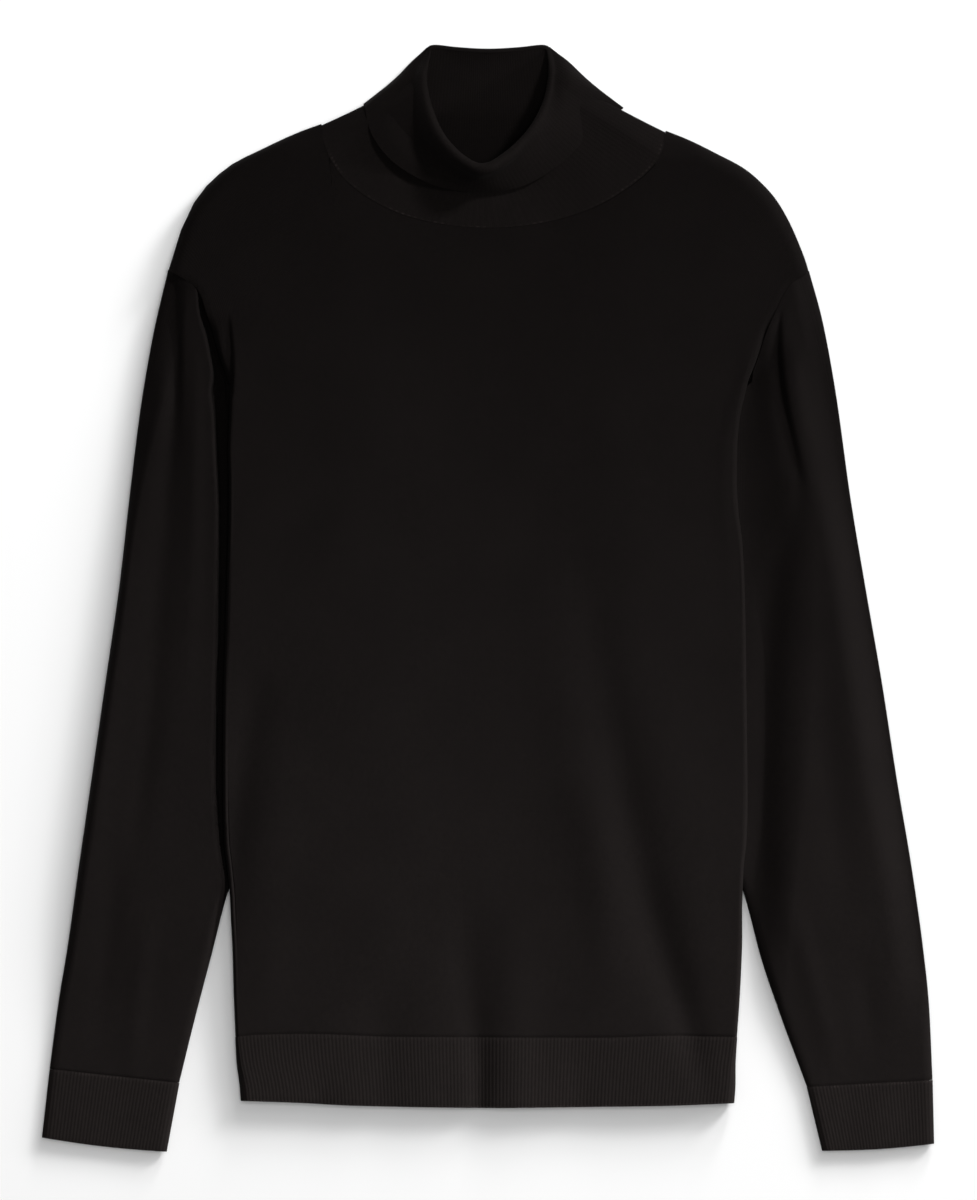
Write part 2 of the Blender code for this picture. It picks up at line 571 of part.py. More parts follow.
def collar():
    """One wall: up from the neck seam, over at the rim and down outside itself as a turned-down flap."""
    angle = np.arange(COLLAR_AROUND) * 2.0 * np.pi / COLLAR_AROUND
    front = np.maximum(np.cos(angle), 0.0)
    seam = collar_seam(angle)
    rim = collar_rim(angle)
    flat_first = 0.62 * front[:, None] + 0.33 * (1.0 - front[:, None])
    low = seam + (rim - seam) * flat_first
    low[:, 2] = seam[:, 2] + 0.02 * (rim[:, 2] - seam[:, 2])
    high = seam + (rim - seam) * (0.66 + 0.34 * front[:, None])
    high[:, 2] = seam[:, 2] + (0.66 - 0.31 * front) * (rim[:, 2] - seam[:, 2])
    stand = []
    for part in STAND_PARTS:
        rest = 1.0 - part
        lower = rest ** 3 * seam + 3 * rest ** 2 * part * low
        stand.append(lower + 3 * rest * part ** 2 * high + part ** 3 * rim)
    stand = np.array(stand)
    back = np.cos(angle) < 0
    lying = WALL / 2 + (STAND_BACK_Z - WALL / 2) * smooth(STAND_PARTS[:, None], 0.0, 0.1)
    lifted = np.where(back, lying, 0.0)
    stand[..., 2] = np.maximum(stand[..., 2], lifted)
    around = np.roll(stand, -1, axis=1) - np.roll(stand, 1, axis=1)
    up = np.gradient(stand, axis=0)
    outward = np.cross(around, up)
    outward /= np.linalg.norm(outward, axis=2, keepdims=True)
    up /= np.linalg.norm(up, axis=2, keepdims=True)
    roll = (WALL + 0.7 + 1.9 * front) / 2
    on_front = smooth(np.cos(angle), -0.2, 0.3)
    loose = 0.9 + 1.6 * front + 3.0 * np.maximum(-np.sin(angle), 0.0) * on_front
    cover = 0.60 + 0.25 * smooth(-np.cos(angle), 0.0, 0.6) + 0.12 * np.sin(2.0 * angle) ** 2 * on_front
    rows = [stand[index] for index in range(len(STAND_PARTS))]
    for turn in ROLL_ANGLES:
        rows.append(stand[-1] + roll[:, None] * ((1.0 - np.cos(turn)) * outward[-1] + np.sin(turn) * up[-1]))
    for part in FLAP_PARTS:
        place = 1.0 - part * cover
        under = np.array([[np.interp(place[k], STAND_PARTS, stand[:, k, axis]) for axis in range(3)]
                          for k in range(COLLAR_AROUND)])
        away = np.array([[np.interp(place[k], STAND_PARTS, outward[:, k, axis]) for axis in range(3)]
                         for k in range(COLLAR_AROUND)])
        away /= np.linalg.norm(away, axis=1, keepdims=True)
        rows.append(under + away * (2.0 * roll + loose * part)[:, None])
    grid = np.array(rows)
    grid[..., 2] = np.maximum(grid[..., 2], WALL / 2)
    return wall("collar", grid, WALL, BLACK_RIB, closed=True)


def main():
    """Builds every piece of the sweater."""
    clear_scene()
    front_panel()
    back_panel()
    hem_band("hem_band_front", front_half)
    hem_band("hem_band_back", back_half)
    sleeve("sleeve_left", -1, LEFT_SLEEVE, LEFT_RISE, LEFT_CREASES)
    sleeve("sleeve_right", 1, RIGHT_SLEEVE, RIGHT_RISE, RIGHT_CREASES)
    cuff("cuff_left", 0, LEFT_SLEEVE)
    cuff("cuff_right", 1, RIGHT_SLEEVE)
    collar()


main()
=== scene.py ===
import bpy
import mathutils
import numpy as np
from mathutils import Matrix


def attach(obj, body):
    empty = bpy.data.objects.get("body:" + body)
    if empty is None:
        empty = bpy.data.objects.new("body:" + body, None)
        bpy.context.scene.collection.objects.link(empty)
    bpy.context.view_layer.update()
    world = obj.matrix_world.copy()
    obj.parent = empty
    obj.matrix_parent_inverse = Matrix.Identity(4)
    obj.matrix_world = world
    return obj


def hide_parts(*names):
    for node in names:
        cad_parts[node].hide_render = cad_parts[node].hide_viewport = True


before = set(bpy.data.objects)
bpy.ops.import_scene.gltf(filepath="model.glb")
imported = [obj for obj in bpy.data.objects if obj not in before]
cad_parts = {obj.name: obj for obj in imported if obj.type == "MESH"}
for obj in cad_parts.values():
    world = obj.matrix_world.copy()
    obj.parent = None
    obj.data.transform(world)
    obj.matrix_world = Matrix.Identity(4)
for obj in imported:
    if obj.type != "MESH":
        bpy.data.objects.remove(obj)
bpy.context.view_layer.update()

# Lengths are in millimetres until MM turns them into metres. X runs across the body, Y up it to the collar,
# Z up from the surface that the sweater lies on.
MM = 0.001
BOX_MIDDLE = np.array((-0.35, 0.6, 0))

WALL = 1.8  # thickness that the CAD walls have
CLOTH = 1.2  # thickness of the cloth that shows
RIB_CLOTH = 1.4
SEAM = 0.3
HEM_SEAM_Y = -302
HEM_BOTTOM_Y = -347
TUCK = 73
TUCK_TOP_Y = 90
UNDERARM_X = 98.6
FOLD_TOP_Y = 148
HIDDEN_Z = 5.2
NECK_HALF_WIDTH = 119
NECK_CENTRE_Y = 323
NECK_DROP_FRONT = 67
NECK_DROP_BACK = 4
SHOULDER_SEAM_Z = 7
SHOULDER_ROUND = 9
NECK_ROUND = 24
CHEST_Z = 14.3
SIDE_Z = 17.4
HEM_Z = 11.6
FOLD_DEPTH = 2.4
SHARE_LEVEL = 0.62

BODY_EDGE = {
    "y": (-347, -302, -242, -198, -100, 0, 82, 124, 148, 165, 182, 199.5, 216, 226),
    "half": (169, 171.5, 175, 177, 178.5, 178.5, 178, 178, 180, 185.5, 191, 199, 208, 221),
}
SHOULDER_EDGE = {
    "x": (119, 134, 157, 176.5, 194, 206.5, 216.5, 221),
    "y": (324.2, 318.2, 307, 296.5, 280.5, 263, 242, 229),
}
# How far each side fold of the body lies outside its even line.
SIDE_SHIFT = {
    "y": (-347, -338, -318, -276, -240, -208, -187, -166, -145, -104, -63, -21, 20, 41, 61, 82, 103, 124,
          144, 160, 176, 193, 213, 226),
    "left": (2.2, 2.3, 3.6, 3, 2, 1.9, 3.2, 5, 5.3, 5.1, 4.7, 3.3, 2.2, 1.6, 1.4, 1.4, 2, 1.2, 0, 0, -0.4,
             -2.3, -5.3, -0.8),
    "right": (0.8, 1, 0.2, 0.6, 0.2, -1.3, -1, 0.6, 0.9, 0.3, -0.2, -0.8, -1.9, -3, -5.4, -6.4, -6.2, -4.4,
              -1.5, 0, 0, 0, 0, 0),
}
# How much higher the left shoulder lies than the right one, by the distance from the middle.
LEFT_SHOULDER = {
    "away": (60, 110, 135, 163, 190, 207, 222, 240),
    "rise": (0, 3, 3.6, 3, 4.3, 5.9, 5.5, 3),
}
LEFT_SLEEVE = {
    "along": (0, 0.1, 0.2, 0.32, 0.44, 0.56, 0.68, 0.78, 0.87, 0.94, 1),
    "outer_x": (-303, -297.3, -290.3, -283, -274, -264.5, -254.8, -247.2, -239.6, -230.8, -221),
    "outer_y": (-324.2, -281, -238, -186, -124, -58, 9, 75, 135, 185, 226.8),
    "inner_x": (-213.6, -203.1, -191.6, -178.2, -157, -136, -119, -109, -103, -100.5, -99.5),
    "inner_y": (-333.8, -291, -247, -197, -152, -100, -48, -2, 38, 68, 89),
}
RIGHT_SLEEVE = {
    "along": LEFT_SLEEVE["along"],
    "outer_x": (306.6, 304.2, 299.9, 292.2, 281.8, 271.6, 260, 249.8, 239.4, 230.2, 221),
    "outer_y": (-331.7, -281, -240, -186, -124, -58, 9, 70, 143.7, 193, 226.8),
    "inner_x": (219.9, 201.5, 188.9, 175, 155, 136, 119, 109, 103, 100.5, 99.5),
    "inner_y": (-336.6, -287, -250, -199, -152, -100, -48, -2, 38, 68, 89),
}
# The corners of each cuff's mouth, by its side: the outer one, then the one by the body.
CUFF_ENDS = {-1: ((-308.4, -371.6), (-222.4, -381.4)), 1: ((307.6, -375.9), (230.4, -380.7))}
CUFF_BOW = 1.3  # how much further down the middle of the mouth lies
CUFF_HEIGHT = 6
SLEEVE_CROWN = 14.5
EDGE_ROUND = 6
OUTER_REACH = 27  # how far in from its outer edge a sleeve slopes
CUFF_LENGTH = 47
SLEEVE_LENGTH = 560
SEAM_ROWS = np.array((0, 0.5, 1, 1.6, 2.6))  # rows close together beside a linked seam
SEAM_STATIONS = (0, 0.0009, 0.0018, 0.003, 0.0048)  # the same on a sleeve, as parts of its length
SEAM_ROUND = 1.9  # how far from a linked seam the cloth starts to turn down
SEAM_DIP = 0.7  # and how deep it goes
HEM_SEAM_DIP = 0.75
PRESSED_REACH = 2.6  # how far in from the side a pressed fold starts to turn down
FOLD_OPEN_Y = 204  # where the side fold has opened out
TUCK_LEAST = 12
NECK_ASIDE, NECK_DOWN = 3.2, 1.4  # how far the neck points lie off their even places
SOFT_SIDE = 1.6  # how much wider a sharp trough is on its left
SHARP_ANGLE = 1.2

# Creases and soft folds: each is a line of (x, y, depth, half width); above nought is a ridge.
FRONT_FOLDS = (
    ((64.1, 40, 0, 16), (67.5, 10, -0.8, 17), (85.7, -90, -2, 15), (103.7, -180, -3.2, 15),
     (119.3, -240, -3.6, 14), (133.6, -285, -3, 12), (143.8, -320, -1.2, 10), (151, -347, -0.4, 8)),
    ((40.8, -20, 0, 18), (54.8, -100, 1, 18), (70.1, -150, 1.5, 16), (77.7, -200, 1.6, 15),
     (84.1, -250, 1, 16), (92.1, -300, 0.3, 16)),
    ((116.4, -40, 0, 22), (125.1, -110, 0.9, 24), (137.6, -180, 1.2, 20), (148.1, -235, 0.7, 16),
     (153.3, -280, 0, 14)),
    ((-145.7, -50, 0, 14), (-158.1, -75, -1.5, 13), (-167.4, -140, -2.1, 12), (-175.8, -200, -2.1, 11),
     (-181.6, -255, -1, 9), (-181.6, -300, 0, 9)),
    ((-130.4, -60, 0, 20), (-138.2, -130, 1.1, 18), (-147.9, -210, 1.1, 16), (-150.7, -280, 0.5, 14),
     (-151.7, -330, 0, 14)),
    ((-18.7, -190, 0, 14), (-16.1, -232, -1.1, 13), (-10.8, -285, -1.8, 11), (-6.6, -320, -2.2, 9),
     (-7, -349, -2.4, 8)),
    ((15.3, -200, 0, 14), (15.3, -245, 0.9, 14), (17.3, -300, 1.4, 14), (19.9, -349, 1.3, 13)),
    ((-43.9, -230, 0, 16), (-42.9, -290, 0.6, 16), (-41.3, -349, 0.7, 15)),
    ((-78.7, -255, 0, 14), (-74.1, -300, -0.6, 13), (-71.4, -349, -0.9, 12)),
    ((61.9, -290, 0, 13), (62.6, -320, -0.6, 12), (64.6, -349, -0.8, 12)),
    ((-115.4, -300, 0, 12), (-114.4, -349, -0.7, 12)),
    ((182.3, 186, 0, 6), (178.9, 160, 0.5, 5), (170.9, 120, 0.5, 5), (168.3, 40, 0.3, 6), (168.3, -60, 0, 6)),
    ((-78.6, 230, 0, 30), (-56.1, 190, -0.5, 26), (-7.4, 160, -0.4, 28), (41.4, 150, 0, 30)),
    ((43.9, 200, 0, 26), (79.9, 130, 0.5, 26), (103.9, 60, 0.4, 26), (109.9, 0, 0, 26)),
    ((-134.9, 160, 0, 24), (-125.6, 90, -0.5, 22), (-132.9, 20, -0.4, 24), (-142.9, -30, 0, 24)),
    ((-70.6, 40, 0, 30), (-64.6, -60, 0.5, 30), (-57.4, -150, 0.4, 28), (-56.1, -210, 0, 26)),
)
# By the left underarm the cloth outside a short sharp line lies lower than the rest of the front.
UNDERARM_STEP = {
    "y": (118, 126, 137, 148, 155, 162, 171, 182, 190, 196),
    "away": (179, 179, 177.8, 176.2, 175.9, 175.9, 176.1, 177.6, 179.6, 181.4),
    "drop": (0, 2, 8, 8, 4.6, 2.8, 2.1, 1.8, 1.1, 0),
}
BACK_FOLDS = (
    ((-40, 250, 0, 14), (-30, 150, 1.1, 12), (-36, 40, 0.9, 12), (-44, -40, 0, 14)),
    ((36, 200, 0, 12), (40, 110, 1, 11), (33, 10, 1.2, 12), (26, -110, 0, 13)),
    ((-22, -120, 0, 12), (-26, -200, 0.9, 11), (-20, -290, 0.5, 11), (-20, -320, 0, 10)),
    ((-150, 280, 0, 12), (-120, 240, 1.2, 12), (-96, 190, 0.8, 13), (-80, 140, 0, 13)),
    ((140, 262, 0, 11), (118, 222, 1, 11), (100, 172, 0, 12)),
)
LEFT_CREASES = (
    ((-218.5, 229, -0.4, 1.6), (-216.2, 222, -2.2, 2), (-215.2, 205, -3, 2.4), (-214.8, 180, -3.2, 2.8),
     (-215.8, 150, -3, 4), (-218.5, 115, -2.5, 6.5), (-221.5, 80, -2.1, 8.5), (-224, 40, -1.9, 9.5),
     (-228, 0, -1.8, 10), (-233, -70, -1.6, 10), (-241, -138, -1, 9), (-247, -190, 0, 9)),
    ((-203.1, 190, 0, 5), (-202.4, 150, 0.8, 5.5), (-202.7, 80, 1, 6), (-205.3, 0, 0.7, 7),
     (-211, -90, 0, 8)),
    ((-249.2, 60, 0, 10), (-256.2, -30, 0.9, 10), (-268.2, -130, 0.9, 10), (-278.2, -220, 0, 10)),
    ((-255.6, -170, 0, 9), (-260.6, -220, -0.9, 9), (-267.6, -280, -0.5, 9), (-271.6, -325, 0, 9)),
    ((-233, -210, 0, 8), (-241, -262, 0.9, 8), (-246, -318, 0.4, 8), (-248, -334, 0, 8)),
)
RIGHT_CREASES = (
    ((204, 214, 0, 2), (200.4, 206, -1, 2.2), (200, 190, -1.7, 2.4), (200, 172, -2.3, 2.4),
     (201.4, 155, -2.7, 2.4), (203.4, 139, -2.8, 2.5), (207.8, 117, -2.3, 2.8), (212.8, 92, -1.7, 3.6),
     (215, 74, -0.9, 6), (212, 40, -0.5, 9), (204, -20, 0, 10)),
    ((209.8, 60, 0, 10), (200.8, 30, -1.2, 10), (193.8, -30, -1.5, 10), (189.4, -110, -1.5, 9),
     (188, -170, -1.2, 8), (191, -205, 0, 8)),
    ((231.8, 90, 0, 10), (239.2, 20, 1, 11), (249.2, -70, 1.1, 11), (261.2, -150, 0.6, 11),
     (269.2, -200, 0, 11)),
    ((224.6, -40, 0, 12), (232.6, -110, -1, 12), (242.6, -180, -0.9, 12), (249.6, -230, 0, 12)),
    ((208, -205, 0, 8), (217, -240, 0.9, 8), (233, -300, 0.7, 8), (241, -334, 0, 8)),
    ((255.8, -240, 0, 10), (261.8, -280, -0.8, 10), (267.8, -330, 0, 10)),
)

BLACK_KNIT = (0.0054, 0.0043, 0.0041)
BLACK_RIB = (0.0071, 0.0057, 0.0054)


def smooth(value, low, high):
    """0 below low, 1 above high and an even curve between them."""
    part = np.clip((value - low) / (high - low), 0, 1)
    return part * part * (3 - 2 * part)


def fade(value, low, high):
    """1 below low, 0 above high and an even curve between them."""
    return 1 - smooth(value, low, high)


def hermite(t, run, low, high, low_slope, high_slope):
    """A cubic from one value to the next, given the slope at each of them."""
    return ((1 + 2 * t) * (1 - t) ** 2 * low + t * (1 - t) ** 2 * run * low_slope
            + t * t * (3 - 2 * t) * high + t * t * (t - 1) * run * high_slope)


def curve(x, xs, ys):
    """A smooth curve through rising xs that never swings past its points."""
    xs = np.asarray(xs, float)
    ys = np.asarray(ys, float)
    step = np.diff(xs)
    slope = np.diff(ys) / step
    tangent = np.r_[slope[0], np.zeros(len(xs) - 2), slope[-1]]
    product = slope[:-1] * slope[1:]
    even = product > 0
    tangent[1:-1][even] = 2 * product[even] / (slope[:-1] + slope[1:])[even]
    x = np.clip(x, xs[0], xs[-1])
    k = np.clip(np.searchsorted(xs, x, side="right") - 1, 0, len(step) - 1)
    t = (x - xs[k]) / step[k]
    return hermite(t, step[k], ys[k], ys[k + 1], tangent[k], tangent[k + 1])


def read(table, at, column):
    """A column of a table, as a smooth curve over its first column."""
    return curve(at, next(iter(table.values())), table[column])


def through(points, places, at, around=0):
    """A rounded curve through points at rising places; around is the length of a loop that closes."""
    points = np.asarray(points, float)
    places = np.asarray(places, float)
    if around:
        points = np.concatenate([points[-1:], points, points[:2]])
        places = np.concatenate([places[-1:] - around, places, places[:2] + around])
    shape = (-1,) + (1,) * (points.ndim - 1)
    step = np.diff(places).reshape(shape)
    slope = np.diff(points, axis=0) / step
    tangent = np.concatenate([slope[:1], (slope[:-1] * step[1:] + slope[1:] * step[:-1])
                              / (step[:-1] + step[1:]), slope[-1:]])
    k = np.clip(np.searchsorted(places, at, side="right") - 1, 0, len(places) - 2)
    t = ((at - places[k]) / (places[k + 1] - places[k])).reshape(shape)
    return hermite(t, step[k], points[k], points[k + 1], tangent[k], tangent[k + 1])


def from_run(x, y, start, end):
    """How far points are from a straight run, seen from above, and what part of the way along it."""
    run = end[:2] - start[:2]
    along = np.clip(((x - start[0]) * run[0] + (y - start[1]) * run[1]) / (run @ run), 0, 1)
    return np.hypot(x - start[0] - along * run[0], y - start[1] - along * run[1]), along


def crease_height(x, y, creases):
    """Height that the creases add at each point. A sharp trough is steep on its right, soft on its left."""
    total = np.zeros(np.broadcast(x, y).shape)
    for rows in creases:
        places = np.arange(len(rows))
        line = through(rows, places, np.linspace(0, len(rows) - 1, 5 * (len(rows) - 1) + 1))
        nearest = np.full(total.shape, np.inf)
        depth = np.zeros(total.shape)
        half = np.ones(total.shape)
        left = np.zeros(total.shape, bool)
        for start, end in zip(line[:-1], line[1:]):
            away, along = from_run(x, y, start, end)
            closer = away < nearest
            nearest = np.where(closer, away, nearest)
            depth = np.where(closer, start[2] + along * (end[2] - start[2]), depth)
            half = np.where(closer, start[3] + along * (end[3] - start[3]), half)
            run = end - start
            left = np.where(closer, run[0] * (y - start[1]) - run[1] * (x - start[0]) < 0, left)
        half = np.where(left & (depth < 0), half * (1 + SOFT_SIDE * smooth(-half, -5, -3)), half)
        total += depth * np.exp(-((nearest / half) ** 2))
    return total


def unevenness(x, y, size, seed):
    """A soft uneven height between about -1 and 1, made of a few turned waves."""
    spread = np.random.default_rng(seed)
    total = np.zeros(np.broadcast(x, y).shape)
    for _ in range(9):
        turn = spread.uniform(0, 2 * np.pi)
        wave = size * spread.uniform(0.6, 1.7)
        start = spread.uniform(0, 2 * np.pi)
        total += np.sin((x * np.cos(turn) + 0.45 * y * np.sin(turn)) * 2 * np.pi / wave + start)
    return total / 3


def normals(grid, closed):
    """The direction out of a grid of points at each of them."""
    if closed:
        across = np.roll(grid, -1, axis=1) - np.roll(grid, 1, axis=1)
    else:
        across = np.gradient(grid, axis=1)
    out = np.cross(across, np.gradient(grid, axis=0))
    # Where rows and columns run nearly the same way, a point takes its neighbours' direction.
    wide = np.pad(out, ((0, 0), (2, 2), (0, 0)), mode="wrap" if closed else "edge")
    near = (wide[:, :-4] + wide[:, 1:-3] + wide[:, 3:-1] + wide[:, 4:]) / 4
    squeezed = np.einsum("rck,rck->rc", out, near) < 0.45 * np.einsum("rck,rck->rc", near, near)
    out = np.where(squeezed[..., None], near, out)
    return out / np.maximum(np.linalg.norm(out, axis=2, keepdims=True), 1e-9)


def settle(grid):
    """Shifts the whole sweater a little in plan, the same for every piece: it doesn't lie quite evenly."""
    x, y = grid[..., 0].copy(), grid[..., 1].copy()
    away = np.abs(x)
    grid[..., 1] += read(LEFT_SHOULDER, -x, "rise") * smooth(y, 215, 262)
    at_neck = smooth(away, 60, 112) * fade(away, 126, 170) * smooth(y, 275, 312)
    grid[..., 0] += NECK_ASIDE * at_neck
    grid[..., 1] -= NECK_DOWN * at_neck * smooth(x, 60, 112)
    return grid


def unit(vectors):
    """The same directions, each 1 long."""
    return vectors / np.linalg.norm(vectors, axis=-1, keepdims=True)


def path_length(points):
    """Length along a line of points up to each of them."""
    return np.r_[0, np.cumsum(np.linalg.norm(np.diff(points, axis=0), axis=1))]


def resampled(points, at, places):
    """Points at new places along a line whose own points are that far along it."""
    return np.stack([np.interp(places, at, points[:, axis]) for axis in range(3)], axis=1)


def add_object(name, data):
    """Puts new data into the scene as an object."""
    made = bpy.data.objects.new(name, data)
    bpy.context.scene.collection.objects.link(made)
    return made


def add_piece(name, points, faces, uv, finish):
    """A piece that rides on the root, from points in millimetres and a UV map in metres."""
    mesh = bpy.data.meshes.new(name)
    mesh.from_pydata(((points - BOX_MIDDLE) * MM).tolist(), [], faces)
    mesh.uv_layers.new(name="cloth").data.foreach_set("uv", uv.astype(np.float32).ravel())
    mesh.shade_smooth()
    mesh.materials.append(finish)
    made = add_object(name, mesh)
    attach(made, "root")
    return made


def lengths(grid, axis):
    """Median length along a grid up to each of its rows or columns."""
    step = np.linalg.norm(np.diff(grid, axis=axis), axis=2)
    return np.r_[0, np.cumsum(np.median(step, axis=1 - axis))]


def shell(name, grid, thickness, finish, node, present=None, closed=False, ribs=0, rib_depth=0,
          u=None):
    """Makes one thin closed shell round a grid of points, with ribs that run along its columns.

    present says which cells there are, closed that the last column meets the first, ribs is their pitch and
    u is how far across each column stands.
    """
    grid = settle(grid)
    rows, columns = grid.shape[:2]
    wraps = columns if closed else columns - 1
    out = normals(grid, closed)
    u = lengths(grid, 1) if u is None else u
    v = lengths(grid, 0)
    wave = (rib_depth * np.cos(2 * np.pi * u / ribs))[None, :, None] if ribs else 0
    outer = grid + out * (thickness / 2 + wave)
    inner = grid - out * (thickness / 2 - wave)
    for side in (outer, inner):
        side[..., 2] = np.maximum(side[..., 2], 0)
    if present is None:
        present = np.ones((rows - 1, wraps), bool)
    row, column = np.nonzero(present)
    row = row[:, None] + (0, 0, 1, 1)
    column = column[:, None] + (0, 1, 1, 0)
    quads = row * columns + column % columns
    count = rows * columns
    starts = quads.ravel()
    ends = np.roll(quads, -1, axis=1).ravel()
    codes = starts * count + ends
    open_edge = ~np.isin(codes, ends * count + starts)
    rim = np.stack([ends, starts, starts + count, ends + count], axis=1)[open_edge]
    faces = np.concatenate([quads, quads[:, ::-1] + count, rim])
    u_all = np.append(u, u[-1] + (u[-1] - u[-2])) if closed else u
    quad_uv = np.stack([u_all[column], v[row]], axis=2)
    rim_uv = np.stack([u_all[rim % columns], v[(rim % count) // columns]], axis=2)
    uv = np.concatenate([quad_uv, quad_uv[:, ::-1], rim_uv]) * MM
    used, place = np.unique(faces, return_inverse=True)
    faces = place.reshape(faces.shape)
    points = np.concatenate([outer.reshape(-1, 3), inner.reshape(-1, 3)])[used]
    made = add_piece(name, points, faces.tolist(), uv, finish)
    made.data.set_sharp_from_angle(angle=SHARP_ANGLE)
    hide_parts(node)
    return made


# ---- the body

def edge_half(y):
    """Half width of the body at a height up it."""
    return read(BODY_EDGE, y, "half")


def under_z(y):
    """Height of the underside of the side fold."""
    return (HIDDEN_Z + 0.4) * smooth(y, -262, -205)


def side_z(y):
    """Height of the cloth's top at the side folds."""
    return HEM_Z + (SIDE_Z - HEM_Z) * smooth(y, -340, -190)


def front_top(x, y):
    """Height of the front's outer face, without the rounding at its edges."""
    half = edge_half(np.minimum(y, FOLD_TOP_Y))
    across = smooth(np.abs(x) / half, 0, SHARE_LEVEL)
    middle = CHEST_Z + (HEM_Z - 0.8 - CHEST_Z) * fade(y, -340, -220)
    level = middle + (side_z(y) - middle) * across
    return level + crease_height(x, y, FRONT_FOLDS) + 0.22 * unevenness(x, y, 70, 5)


def top_edge_y(x, drop):
    """The upper edge of a panel: half an ellipse between the neck points, and a shoulder at each side."""
    part = np.clip(np.abs(x) / NECK_HALF_WIDTH, 0, 1)
    neckline = NECK_CENTRE_Y - drop * np.sqrt(1 - part ** 2)
    return np.where(np.abs(x) < NECK_HALF_WIDTH, neckline, read(SHOULDER_EDGE, np.abs(x), "y"))


def panel_rows(spacing):
    """Stations up the body's side edge: height, half width and length along the edge."""
    y = np.linspace(HEM_SEAM_Y, BODY_EDGE["y"][-1], 600)
    half = edge_half(y)
    length = np.r_[0, np.cumsum(np.hypot(np.diff(y), np.diff(half)))]
    insets = np.array((16.4, 13.5, 11, 8.6, 6.5, 4.7, 3.2, 2, 1.1, 0.4, 0))
    upward = np.linspace(4, length[-1] - insets[0] - spacing, int(length[-1] / spacing))
    stations = np.r_[SEAM_ROWS, upward, length[-1] - insets]
    return np.stack([np.interp(stations, length, y), np.interp(stations, length, half), stations], axis=1)


LIFT_POWER = 1.6  # how late the rows turn towards the shoulder
NECK_PART = 0.5459  # where across the face the neck point is
TO_NECK = np.linspace(0, 1, 48)
FACE_PARTS = np.r_[NECK_PART * (0.6 * TO_NECK + 0.4 * np.sin(TO_NECK * np.pi / 2)),
                   np.linspace(NECK_PART, 0.93, 30)[1:], np.linspace(0.93, 0.996, 18)[1:]]
ARC_PARTS = np.linspace(0, 1, 16)
STRIP_PARTS = np.array((0.06, 0.2, 0.35, 0.5, 0.65, 0.8, 0.92, 1))
FLOOR_PARTS = np.linspace(0, 1, 26)


def fold_end_angle(y):
    """Where the side fold's arc stops: right round below the armhole, only just turned at the shoulder."""
    return np.radians(-90 + 150 * smooth(y, FOLD_TOP_Y - 4, FOLD_OPEN_Y))


def edge_reach(y):
    """How far in from the side the fold's top starts to turn down: soon, as on a pressed edge."""
    radius = (side_z(y) - under_z(y)) / 2
    pressed = fade(y, FOLD_TOP_Y + 10, FOLD_OPEN_Y) * smooth(y, HEM_BOTTOM_Y, HEM_BOTTOM_Y + 47)
    return radius + (PRESSED_REACH - radius) * pressed


def tuck_width(y):
    """How far the turned-under side reaches in beneath the body."""
    return TUCK_LEAST + (TUCK - TUCK_LEAST) * fade(y, TUCK_TOP_Y, FOLD_TOP_Y - 10)


def mirrored(half_section, y, half):
    """A whole row of points from the right half of it, which starts on the middle line."""
    path = np.array([(x, y, z) for x, z in half_section(y, half)])
    return np.concatenate([path[:0:-1] * (-1, 1, 1), path])


def front_half(y, half):
    """Right half of the front's section, as (x, z): the face, the side fold's arc and the strip beneath."""
    top = side_z(y)
    radius = (top - under_z(y)) / 2
    turn = radius - WALL / 2
    reach = edge_reach(y)
    end_angle = fold_end_angle(y)
    centre_x = half - reach * np.cos(max(end_angle, 0))
    path = [(part * centre_x, top) for part in FACE_PARTS]
    for part in ARC_PARTS:
        angle = np.pi / 2 + part * (end_angle - np.pi / 2)
        path.append((centre_x + (reach - WALL / 2) * np.cos(angle), top - radius + turn * np.sin(angle)))
    return path + [(centre_x - part * (tuck_width(y) - radius), under_z(y) + WALL / 2)
                   for part in STRIP_PARTS]


def back_half(y, half):
    """Right half of the back's section, as (x, z): on the floor, over the tuck, its fold and beneath."""
    main_z = side_z(y) - 1.5 * WALL - SEAM - FOLD_DEPTH
    strip_z = under_z(y) + 1.5 * WALL + SEAM
    turn = (main_z - strip_z) / 2
    fold_x = half - (side_z(y) - under_z(y)) / 2
    sleeve_x = np.interp(y, LEFT_SLEEVE["inner_y"][3:], np.abs(LEFT_SLEEVE["inner_x"][3:]))
    floor_x = min(sleeve_x - 0.5, half - TUCK - 4)
    if y > TUCK_TOP_Y:
        way = (y - TUCK_TOP_Y) / (BODY_EDGE["y"][-1] - TUCK_TOP_Y)
        floor_x = UNDERARM_X + way * (BODY_EDGE["half"][-1] - 0.2 - UNDERARM_X)
    rise = fade(y, TUCK_TOP_Y, TUCK_TOP_Y + 35) * (main_z - 1 - WALL / 2)
    path = [(part * floor_x, WALL / 2 + smooth(part, 0.6, 1) * rise) for part in FLOOR_PARTS]
    path += [(half - inset, main_z) for inset in (TUCK - 16, 40, 24)]
    for angle in np.radians((90, 60, 30, 0, -30, -60, -90)):
        path.append((fold_x + turn * np.cos(angle), (main_z + strip_z) / 2 + turn * np.sin(angle)))
    return path + [(half - TUCK / 2, strip_z), (half - TUCK, strip_z)]


